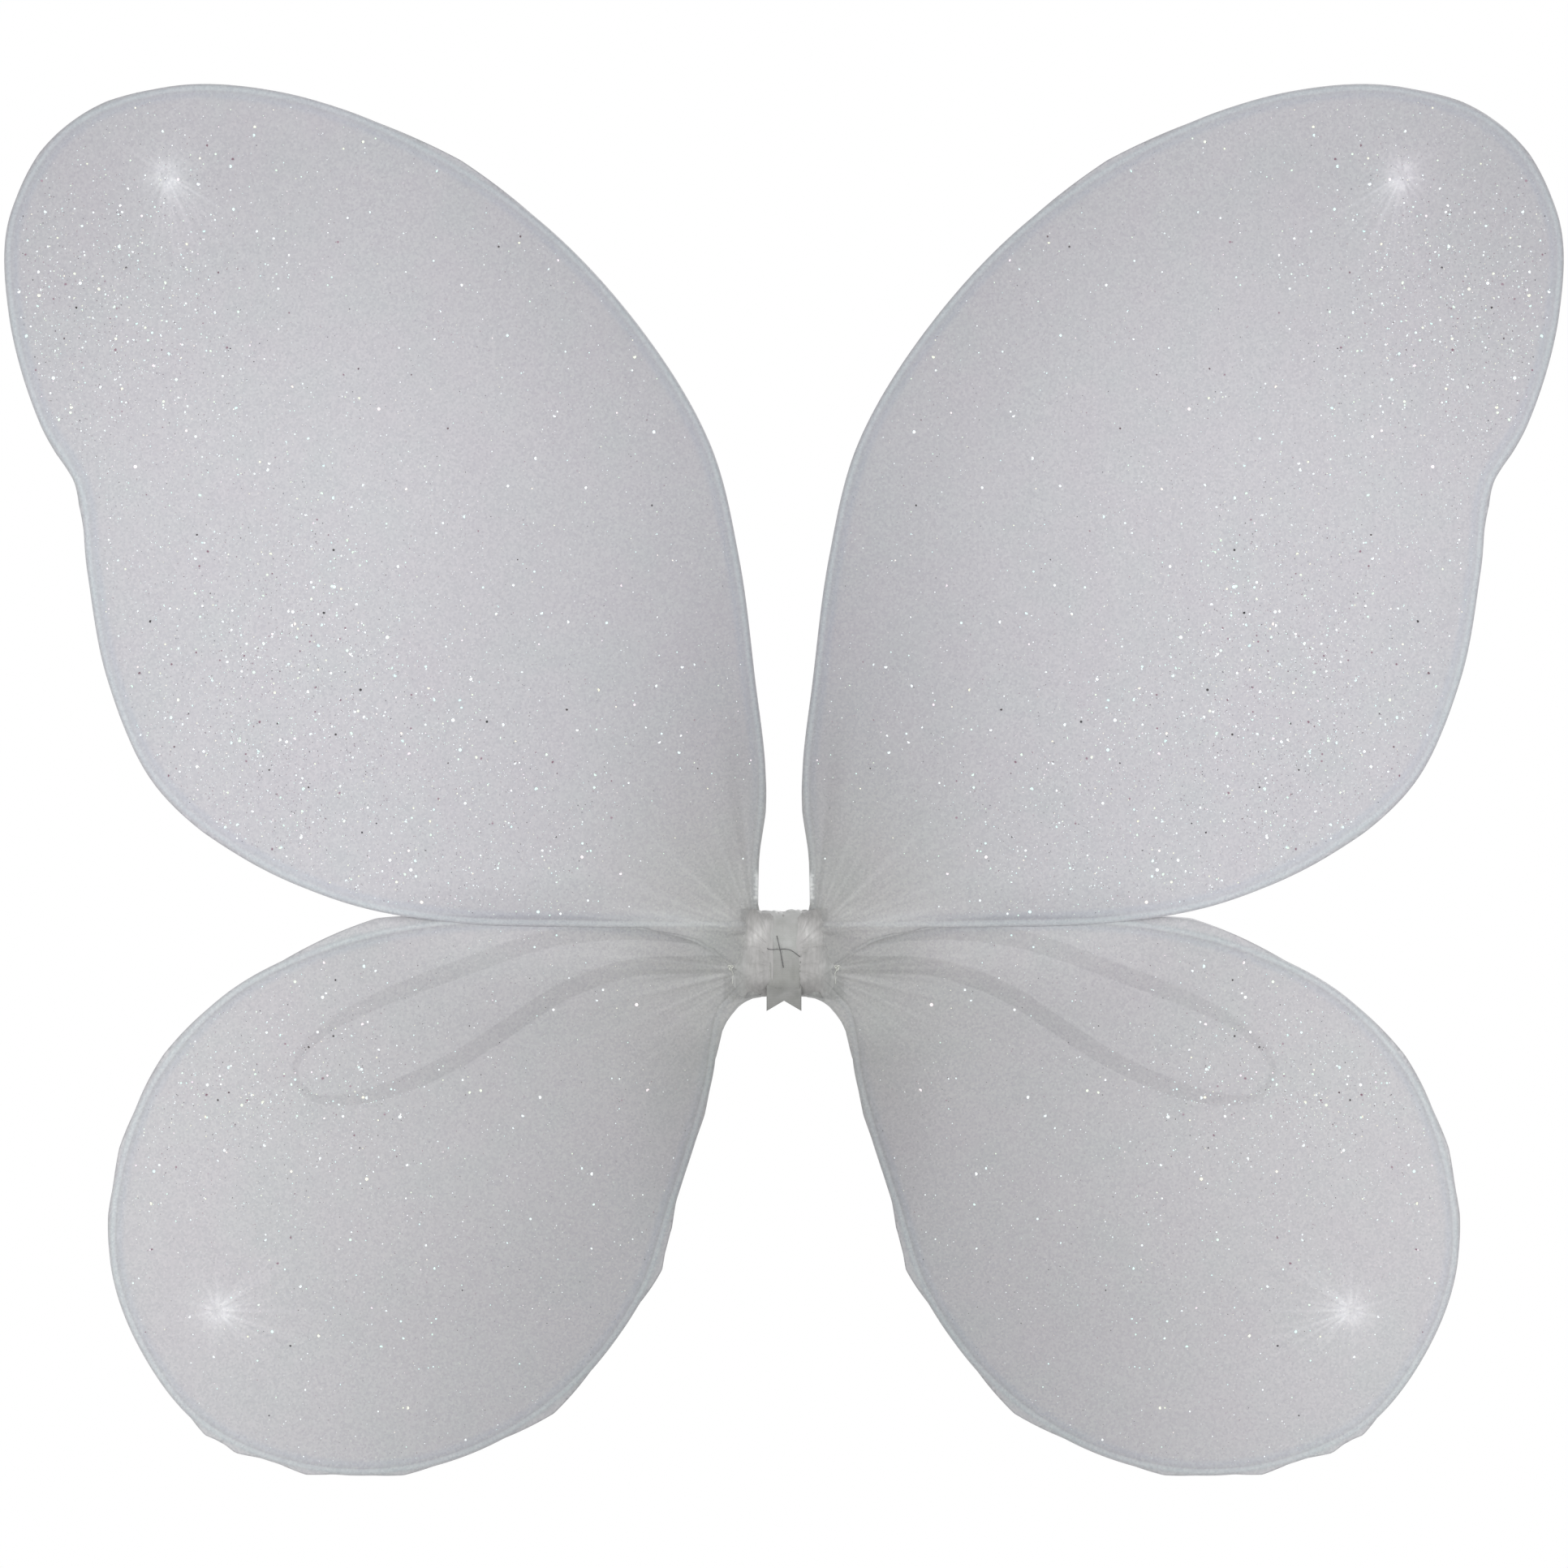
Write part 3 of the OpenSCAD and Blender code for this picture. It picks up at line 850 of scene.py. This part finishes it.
def compact(vertices, faces, values):
    """The same shape without the vertices no face uses."""
    used = np.unique(np.concatenate([np.array(f) for f in faces]))
    new = np.zeros(len(vertices), int)
    new[used] = np.arange(len(used))
    return vertices[used], [tuple(int(new[k]) for k in f) for f in faces], values[used]


def make_wings():
    for wing in WINGS:
        vertices, faces, tone = cloth(wing)
        wire = tube(np.insert(wing.wire, 1, -wing.depth, axis=1), WIRE_R, 16)
        for side in SIDES:
            label = f"{side}_{wing.name}"
            body = f"{label}_wing"
            held = add_piece(f"{label}_wire", wire, WIRE, body, [f"{label}_frame"], side)
            sleeve = add_piece(
                f"{label}_nylon", (vertices, faces), NYLON, FOLDING if wing is LOWER else body,
                [f"{label}_sleeve"], side, tone,
            )


# ---- threads, tufts and arm loops


def add_bunched(name, shape, body, side="right", replaced=()):
    """A piece of bunched nylon, with its tone painted from where it lies."""
    add_piece(name, shape, BUNCHED, body, replaced, side, bunched_tone(shape[0]))


def bunched_tone(points):
    """Whitish beside the ribbon's upper part, pale out to the knots, darker olive below; tufts paler."""
    x, z = np.abs(points[:, 0]) / MM, points[:, 2] / MM
    lumps = 30 * bell(x - 9.2, 3.3) * bell(z - 7.0 + (x - 8) * 0.6, 2.9)
    strip = 7 * bell(z + 4.6, 1.6) * smooth(x, 8, 12)
    under = 17 * smooth(-z, 7, 10.5) + 9 * smooth(-z, 8, 13) * (1 - smooth(x, 9, 13))
    beside = 8 * bell(x - 6, 3) * smooth(-z, -3, 0)
    by_hub = 169 - beside + lumps + strip - under - 18 * smooth(z, 10, 14)
    level = np.where(x > 60, 196, by_hub)
    return linear(level[:, None] + np.array([1, -0.5, -2]))


def thread_line(points, radius, sides=8):
    """A thread along a smooth line through these points, in millimetres."""
    p = np.array(points, float) * MM
    p = np.vstack([2 * p[0] - p[1], p, 2 * p[-1] - p[-2]])
    return tube(resampled(curve(p, 10), 0.25 * MM), radius, sides)


def coil(centre, axis, radius, winds, pitch, thread_r, seed):
    """Thread wound round an axis, a little unevenly, with both ends left loose."""
    rng = np.random.default_rng(seed)
    steps = 28
    count = winds * steps
    angle = np.arange(count + 1) / steps * math.tau
    wander = rng.normal(0, 0.02, count + 1).cumsum()
    wander -= np.linspace(0, wander[-1], count + 1)
    rise = (angle / math.tau - winds / 2) * pitch + wander * pitch
    along = np.array(axis, float)
    a = np.array([1.0, 0, 0])
    b = np.cross(along, a)
    path = np.array(centre) + circle(angle) @ np.stack([a, b]) * radius + np.outer(rise, along)
    loose = np.outer([0.9, 1.5, 2.6], b) * MM
    start = path[0] - loose + np.outer([0, 0.4, 1], a) * MM
    end = path[-1] + loose + np.outer([0, 0.5, 0.8], a) * MM
    return tube(np.vstack([start[::-1], path, end]), thread_r, 8)


def knot(x, depth, z, size, seed):
    """A thread knot: a few small loops that cross one another."""
    rng = np.random.default_rng(seed)
    t = np.linspace(0, math.tau, 90)
    loops = np.column_stack([
        (np.sin(t) + 2 * np.sin(2 * t)) / 3, np.sin(3 * t) * 0.45, (np.cos(t) - 2 * np.cos(2 * t)) / 3,
    ])
    loops = loops * size * rng.uniform(0.85, 1.15, 3)
    return tube((loops + [x, -depth, z]) * MM, 0.2 * MM, 8)


def tuft(wing):
    """The sleeve's drawn-together end behind its tie: a fluted neck that flares to a ragged rim."""
    rng = np.random.default_rng(wing.seed)
    rise = np.array([-0.6, 0.2, 0.9, 1.7, 2.3, 2.9, 3.4, 3.1, 2.5]) * MM
    radius = np.array([1.9, 1.4, 1.15, 1.2, 1.7, 2.4, 3.1, 2.7, 0.4]) * MM
    sides, last = 60, len(rise) - 1
    around = turns(sides)
    flutes = 1 + 0.16 * np.cos(9 * around + 0.6 * np.sin(2 * around)) + rng.normal(0, 0.03, sides)
    ragged = rng.normal(0, 0.22, sides) * MM
    start = 1.2 * MM - wing.depth
    path = np.insert(np.tile(wing.tie, (len(rise), 1)), 1, start + rise, axis=1)

    def profile(i):
        r = radius[i] * (flutes if 1 < i < last else 1)
        y = ragged * (0.3 if i < 5 else 1) * (i > 1)
        return np.column_stack([np.cos(around) * r, y, np.sin(around) * r])

    return swept(path, profile)


def strap():
    """The elastic: flat along both runs and on edge where it turns back, ribbed along its length."""
    steps = 14
    route = np.array([(STRAP_X - 5, 3.3), *STRAP_ROUTE, (STRAP_X - 5, -3.3)], float) * MM
    path = curve(route, steps)
    at = np.arange(len(path)) / steps
    share = np.cos(np.minimum(np.abs(at - STRAP_TURN) / STRAP_TURN_REACH, 1) * math.pi / 2) ** 2
    d = directions(path)
    normal = np.column_stack([-d[:, 1], np.zeros(len(path)), d[:, 0]])
    twist = (STRAP_TWIST * share)[:, None]
    flat = normal * np.cos(twist) + np.array([0, 1, 0]) * np.sin(twist)
    thick = np.array([0, 1, 0]) * np.cos(twist) - normal * np.sin(twist)
    middle = np.column_stack([path[:, 0], -STRAP_DEPTH - STRAP_DIP * share, path[:, 1]])
    across = np.linspace(-1, 1, 25)
    half = STRAP_T / 2 * (0.82 + 0.18 * np.cos(across * math.pi * 6)) * np.sqrt(1 - across**8 * 0.9)
    u = np.concatenate([across, across[::-1]]) * STRAP_W / 2
    v = np.concatenate([half, -half[::-1]])
    return swept(middle, lambda i: np.outer(u, flat[i]) + np.outer(v, thick[i]))


def bar_tack():
    """Zigzag stitching over the loop's two ends, on the wearer's side."""
    middle, half_width, half_height, y = STRAP_X + 3.5, 1.4, 6, -0.55
    heights = np.linspace(-half_height, half_height, 26)
    zigzag = [(middle + half_width * (-1) ** k, y, z) for k, z in enumerate(heights)]
    return thread_line(zigzag, 0.2 * MM)


def bunch(wing):
    """The sleeve's root drawn into a fluted column on the fold axis, with a waist under its thread."""
    rise = np.array([0.8, 1.2, 2.1, 3.0, 4.0, 5.5, 7.5, 9.5, 11.3, 12.6, 13.2]) * MM * wing.up
    radius = np.array([1.6, 2.5, 2.55, 2.6, 2.85, 3.0, 3.05, 3.0, 2.8, 2.3, 1.2]) * MM
    around = turns(56)
    path = np.array([(FOLD_X, -FOLD_DEPTH, z) for z in rise])

    def profile(i):
        flutes = 0.07 * np.cos(11 * around + i * 0.25 + wing.seed) + 0.04 * np.cos(5 * around - i * 0.3)
        r = radius[i] * (1 + flutes)
        return np.column_stack([np.cos(around) * r, np.sin(around) * r, np.zeros(len(r))])

    return swept(path, profile)


def make_bindings():
    for side in SIDES:
        for wing in WINGS:
            label = f"{side}_{wing.name}"
            body = f"{label}_wing"
            root = (FOLD_X, -FOLD_DEPTH, wing.up * WAIST)
            tie = (wing.tie[0], -wing.depth + TIE_BACK, wing.tie[1])
            bindings = {
                "root": coil(root, (0, 0, 1), ROOT_COIL_R, 4, 0.5 * MM, 0.2 * MM, wing.seed),
                "tip": coil(tie, (0, 1, 0), TIE_COIL_R, 3, 0.45 * MM, 0.22 * MM, wing.seed + 2),
            }
            for end, wound in bindings.items():
                stands_for = [f"{label}_{end}_thread"]
                add_piece(f"{label}_{end}_binding", wound, PALE_THREAD, body, stands_for, side)
            add_bunched(f"{label}_tuft", tuft(wing), body, side)
            add_bunched(f"{label}_bunch", bunch(wing), body, side)
        tail = [(17.8, -13.9, -4.6), (17, -13.6, -6.5), (17.2, -13.1, -9), (16.8, -12.2, -11.5)]
        shape = joined(knot(17.8, 13.9, -4.3, 0.85, 5), thread_line(tail, 0.1 * MM))
        add_piece(f"{side}_knot", shape, KNOT_THREAD, f"{side}_lower_wing", (), side)


def make_arm_loops():
    for side in SIDES:
        body = f"{side}_arm_loop"
        tack = [f"{side}_strap_tack"]
        add_piece(f"{side}_elastic", strap(), ELASTIC, body, [f"{side}_strap"], side)
        add_piece(f"{side}_bar_tack", bar_tack(), PALE_THREAD, body, tack, side)


# ---- hub


def hub_section(step):
    """The hub's outside seen from the side, as points (Y, Z) and the unit normals there."""
    back, front, top = -HUB_R, HUB_R - HUB_DEPTH, HUB_TOP - HUB_R
    points = []
    for quarter, (y, z) in enumerate([(back, top), (front, top), (front, -top), (back, -top)]):
        points.append([y, z] + HUB_R * circle(np.radians(quarter * 90 + np.linspace(0, 90, 20))))
    ring = resampled(np.vstack([*points, points[0][:1]]), step)[:-1]
    d = np.roll(ring, -1, axis=0) - np.roll(ring, 1, axis=0)
    d = d / lengths(d)[:, None]
    return ring, np.column_stack([d[:, 1], -d[:, 0]])


def bundle():
    """Nylon tails bunched round the wire ends, pinched in by the ribbon and swelling beside it."""
    ring, normal = hub_section(0.8 * MM)
    out = np.array([0, 3, 5.2, 5.7, 6.3, 7.0, 7.5, 7.9, 8.1, 8.2]) * MM
    sink = np.array([1.3, 1.3, 1.2, 0.95, 0.75, 0.75, 1.0, 1.6, 2.6, 5.0]) * MM
    xs = np.concatenate([-out[:0:-1], out])
    sink = np.concatenate([sink[:0:-1], sink])
    path = np.column_stack([xs, np.zeros((len(xs), 2))])

    def profile(i):
        lumps = waves(ring + xs[i] * 0.6, 3.2 * MM, 31) * 0.25 * MM
        held = sink[i] * (1 - 0.75 * np.clip(normal[:, 1], 0, 1))
        around = ring + normal * (lumps - held)[:, None]
        return np.column_stack([np.zeros(len(around)), around])

    return swept(path, profile)


def ribbon_turn(centre, lean, lift, seed):
    """One turn of ribbon round the hub, crowned across its width and leaning as it goes round."""
    ring, normal = hub_section(0.7 * MM)
    angle = np.arctan2(ring[:, 1], ring[:, 0] + HUB_DEPTH / 2)
    path = np.column_stack([centre + lean * np.sin(angle), ring])
    across = np.linspace(-1, 1, 15)
    ripple = waves(ring, 5 * MM, seed) * 0.15 * MM

    def profile(i):
        folds = np.sin(across * 7 + angle[i] * 2) + 0.7 * np.sin(across * 12 - angle[i] * 3 + seed)
        dip = bell(path[i, 0] + across * RIBBON_TURN_HALF, 1.6 * MM) * max(normal[i, 1], 0)
        top = 0.6 * MM * (1 - across**2) + 0.12 * MM * folds + lift + ripple[i] - 0.5 * MM * dip
        out = np.concatenate([top, top[::-1] - RIBBON_T])
        x = np.concatenate([across, across[::-1]]) * RIBBON_TURN_HALF
        return np.column_stack([x, out[:, None] * normal[i]])

    return swept(path, profile, closed=True)


def slab(front, back):
    """A closed plate between two grids of points of the same size."""
    rows, columns = front.shape[:2]
    count = rows * columns
    number = np.arange(count).reshape(rows, columns)
    corners = np.stack([number[:-1, :-1], number[:-1, 1:], number[1:, 1:], number[1:, :-1]], axis=2)
    faces = []
    for a, b, c, d in corners.reshape(-1, 4).tolist():
        faces += [(a, b, c, d), (a + count, d + count, c + count, b + count)]
    rim = [*number[0, :-1], *number[:-1, -1], *number[-1, :0:-1], *number[:0:-1, 0]]
    for a, b in zip(rim, rim[1:] + rim[:1]):
        faces.append((int(b), int(a), int(a + count), int(b + count)))
    return np.vstack([front.reshape(-1, 3), back.reshape(-1, 3)]), faces


def ribbon_tail():
    """The ribbon's cut end: a swallow tail that comes out of the wrap and hangs down in front of the hub."""
    u, v = np.meshgrid(np.linspace(-1, 1, 25), np.linspace(0, 1, 31))
    start = -10 * MM
    low = TAIL_LOW + TAIL_NOTCH * (1 - np.abs(u))
    z = start + (low - start) * v
    y = 0.7 * MM - HUB_DEPTH - 1.35 * MM * smooth(v + 0.12 * np.sin(u * 5), 0.0, 0.55)
    y -= 0.22 * MM * np.sin(u * 2.2 + v * 3) * v
    front = np.stack([u * RIBBON_HALF, y, z], axis=2)
    return slab(front, front + [0, RIBBON_T, 0])


def web(wing, reach, low, high, face, fades, centre):
    """Nylon that runs from the hub out over a wing's root and sinks away into the cloth.

    low and high are its lower and upper edges as points (X, Z), in millimetres; face is how far
    forward it stands beside the ribbon.
    """
    u, v = np.meshgrid(np.linspace(0, 1, 64), np.linspace(0, 1, 64))
    x = WEB_START + (reach - WEB_START) * u
    bottom, top = np.interp(x, *zip(*low)), np.interp(x, *zip(*high))
    z = bottom + (top - bottom) * v
    flat = np.column_stack([x.ravel(), z.ravel()]) * MM
    cloth_face = (wing.depth + wing.lift(flat)).reshape(x.shape) / MM + 1.2
    round_low, round_high = fades
    edges = round_low(v) * round_high(1 - v)
    out = cloth_face + (face - cloth_face) * (1 - smooth(x, 6.5, reach)) - smooth(x, reach - 3, reach)
    angle = np.arctan2(z - centre[1], x - centre[0])
    flutes = 0.2 * np.sin(angle * 19 + np.sin(x * 0.5)) + 0.14 * np.sin(angle * 31 - x * 0.2)
    out = out + flutes * smooth(x, 4, 7)
    hidden = wing.depth / MM - 0.6
    front = np.stack([x, -hidden - (out - hidden) * edges, z], axis=2) * MM
    back = np.stack([x, np.full_like(x, 0.8 - hidden), z], axis=2) * MM
    return slab(front[:, ::-1], back[:, ::-1])


def rolled(share):
    """A fold's rounded edge, from 0 at the edge to 1."""
    return rounded(share / 0.26)


def faded(share):
    """A long soft edge, from 0 at the edge to 1."""
    return smooth(share, 0, 0.32)


def web_tone(wing, points):
    """Bunched nylon's tone near the hub, and the wing's own where the web sinks into it."""
    flat = points[:, [0, 2]]
    own = smooth(flat[:, 0], 11 * MM, 15 * MM)[:, None]
    return bunched_tone(points) * (1 - own) + wing.surfaces(flat)[2] * own


def make_webs():
    """The cloth between the hub and the wings' roots, which rides on no body."""
    gusset = web(
        LOWER, 20, [(WEB_START, -14.1), (10, -14.4), (14, -15), (20, -16)],
        [(WEB_START, 11), (10, 10), (20, 5)], 18.1, (rolled, faded), (1, -3.5),
    )
    shoulder = web(
        UPPER, 14.5, [(WEB_START, -5), (10, -4), (15, 0)],
        [(WEB_START, 14.3), (7.5, 14.4), (10.5, 16), (15, 15)], 18.2, (faded, rolled), (3, 2),
    )
    for side in SIDES:
        for name, wing, shape in (("gusset", LOWER, gusset), ("shoulder", UPPER, shoulder)):
            tone = web_tone(wing, shape[0])
            add_piece(f"{side}_root_{name}", shape, BUNCHED, FOLDING, (), side, tone)


def make_hub():
    add_bunched("nylon_bundle", bundle(), "hub", replaced=["hub_core"])
    wrap = joined(
        ribbon_turn(-1.9 * MM, -0.5 * MM, -0.5 * MM, 3), ribbon_turn(1.9 * MM, 0.5 * MM, -0.2 * MM, 4)
    )
    add_piece("ribbon", wrap, RIBBON, "hub", ["ribbon_wrap"])
    add_piece("ribbon_tail", ribbon_tail(), RIBBON, "hub")
    down = [(-2.4, -18.2, 6.3), (-2.2, -18.7, 5.4), (-1.3, -18.9, 1.5), (-0.2, -18.8, -4.3)]
    across = [
        (-6.2, -17.8, 2.4), (-4.8, -18.6, 1.8), (-2, -18.9, 1.9), (1.8, -18.9, 1.7), (5.4, -18.5, -0.7),
    ]
    stitches = joined(thread_line(down, 0.13 * MM), thread_line(across, 0.12 * MM))
    add_piece("dark_stitches", stitches, DARK_THREAD, "hub", ["ribbon_stitches"])


# ---- glitter

# Where glitter lies thickest on each wing: middle, spread and weight, and the thin cover everywhere
PATCHES = {
    UPPER: [((168, 80), (50, 60), 1.0), ((230, 210), (42, 48), 0.9), ((95, 45), (45, 30), 0.5)],
    LOWER: [((172, -45), (42, 30), 0.9), ((125, -85), (50, 35), 0.12)],
}
THIN_COVER = 0.12
AMOUNT = {UPPER: 1.0, LOWER: 0.3}

# Kinds of flake: how many on an upper wing, the smallest and largest radius, and the seed's step
BRIGHT = [(1250, 0.2, 0.62, 5), (4200, 0.1, 0.19, 6)]
DARK = [(60, 0.36, 0.5, 10), (190, 0.16, 0.3, 7), (2600, 0.11, 0.18, 8)]
BEHIND = [(900, 0.15, 0.35, 9)]
FLAKE_SIDES = 6
TRIES = 14  # random places tried for each flake that is kept
OFF_CLOTH = 0.06 * MM
CLEAR_OF_WIRE = 2.4 * MM


def glitter_share(wing, points):
    x, z = points[:, 0] / MM, points[:, 1] / MM
    share = THIN_COVER + sum(weight * spot(x, z, middle, spread) for middle, spread, weight in PATCHES[wing])
    r = lengths(points - wing.root)
    return np.minimum(share, 1) * smooth(r, 18 * MM, 70 * MM)


def flakes(wing, kinds, layer="front"):
    """Flat flakes of these kinds, stuck at random to a layer of a wing's cloth."""
    return joined(*[flakes_of(wing, layer, round(number * AMOUNT[wing]), *kind) for number, *kind in kinds])


def flakes_of(wing, layer, count, smallest, largest, step):
    """Flakes of one kind, most of them small."""
    rng = np.random.default_rng(wing.seed + step)
    low, high = wing.outline.min(axis=0), wing.outline.max(axis=0)
    points = rng.uniform(low, high, (count * TRIES, 2))
    points = points[rng.random(len(points)) < glitter_share(wing, points)]
    gap, _ = nearest(points, wing.wire)
    points = points[inside(points, wing.wire) & (gap > CLEAR_OF_WIRE)][:count]
    front, back, _ = wing.surfaces(points)
    y = -wing.depth - front - OFF_CLOTH if layer == "front" else -wing.depth + back + OFF_CLOTH
    centre = np.column_stack([points[:, 0], y, points[:, 1]])
    size = (smallest + (largest - smallest) * rng.random(len(points)) ** 4) * MM
    spin = rng.uniform(0, math.tau, len(points))
    lean = rng.normal(0, 0.22, (len(points), 2))
    corners = []
    for k in range(FLAKE_SIDES):
        a = spin + k * math.tau / FLAKE_SIDES
        dx, dz = np.cos(a) * size, np.sin(a) * size
        corners.append(centre + np.column_stack([dx, dx * lean[:, 0] + dz * lean[:, 1], dz]))
    faces = np.arange(len(points) * FLAKE_SIDES).reshape(-1, FLAKE_SIDES)
    return np.stack(corners, axis=1).reshape(-1, 3), faces.tolist()


def make_glitter():
    for wing in WINGS:
        glitter = joined(flakes(wing, BRIGHT), flakes(wing, BEHIND, "back"))
        specks = flakes(wing, DARK)
        for side in SIDES:
            label = f"{side}_{wing.name}"
            add_piece(f"{label}_glitter", glitter, FLAKES, f"{label}_wing", (), side)
            add_piece(f"{label}_specks", specks, SPECKS, f"{label}_wing", (), side)


# ---- camera and light


def make_camera():
    """Level and square on to the wings, as the photograph was taken."""
    data = bpy.data.cameras.new("camera")
    distance, view_width, height = 2.5, 0.5228, 0.0568
    data.lens = data.sensor_width * distance / view_width
    camera = placed(bpy.data.objects.new("camera", data))
    camera.location = (0, -distance - UPPER_DEPTH, height)
    camera.rotation_euler = (math.radians(90), 0, 0)
    bpy.context.scene.camera = camera


def area_light(name, place, size, power):
    """A soft light that looks at the wings' middle."""
    data = bpy.data.lights.new(name, "AREA")
    data.size = size
    data.energy = power
    light = placed(bpy.data.objects.new(name, data))
    light.location = place
    to_middle = Vector((0, 0, 0.05)) - Vector(place)
    light.rotation_euler = to_middle.to_track_quat("-Z", "Y").to_euler()


def make_world():
    """White behind everything, and a softer white that lights it."""
    world = bpy.data.worlds.new("studio")
    world.use_nodes = True
    nodes, links = world.node_tree.nodes, world.node_tree.links
    lit, seen = nodes["Background"], nodes.new("ShaderNodeBackground")
    for node, colour, strength in ((lit, (0.985, 0.99, 1, 1), 0.72), (seen, (1, 1, 1, 1), 1.0)):
        node.inputs["Color"].default_value = colour
        node.inputs["Strength"].default_value = strength
    mixer = nodes.new("ShaderNodeMixShader")
    path = nodes.new("ShaderNodeLightPath")
    links.new(path.outputs["Is Camera Ray"], mixer.inputs["Fac"])
    links.new(lit.outputs["Background"], mixer.inputs[1])
    links.new(seen.outputs["Background"], mixer.inputs[2])
    links.new(mixer.outputs["Shader"], nodes["World Output"].inputs["Surface"])
    bpy.context.scene.world = world


def make_floor():
    n = Nodes("floor")
    colour = n.ramp(n.noise(3, 4), [(0.3, 0.86), (0.7, (0.9, 0.9, 0.89))])
    material = n.finish(Base_Color=colour, Roughness=0.8)
    half_width, front, back, height = 1.6, -1.7, 0.8, -0.3
    corners = [(-half_width, front), (half_width, front), (half_width, back), (-half_width, back)]
    vertices = [(x, y, height) for x, y in corners]
    new_object("floor", vertices, [(0, 1, 2, 3)], material)


def make_studio():
    make_world()
    area_light("key", (-0.8, -2.2, 0.65), 1.3, 17)
    area_light("fill", (0.9, -2.1, 0.2), 1.5, 8)
    area_light("back", (0.7, 1.9, 1.1), 1.3, 14)
    make_floor()
    bpy.context.scene.view_settings.view_transform = "Standard"
    bpy.context.scene.cycles.transparent_max_bounces = 32


make_camera()
make_studio()
make_wings()
make_bindings()
make_arm_loops()
make_hub()
make_webs()
make_glitter()

# The wire ends and their lashing, inside the hub, keep their CAD shapes
for name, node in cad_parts.items():
    if not node.hide_render:
        node.data.materials.clear()
        node.data.materials.append(WIRE if name == "wire_ends" else PALE_THREAD)
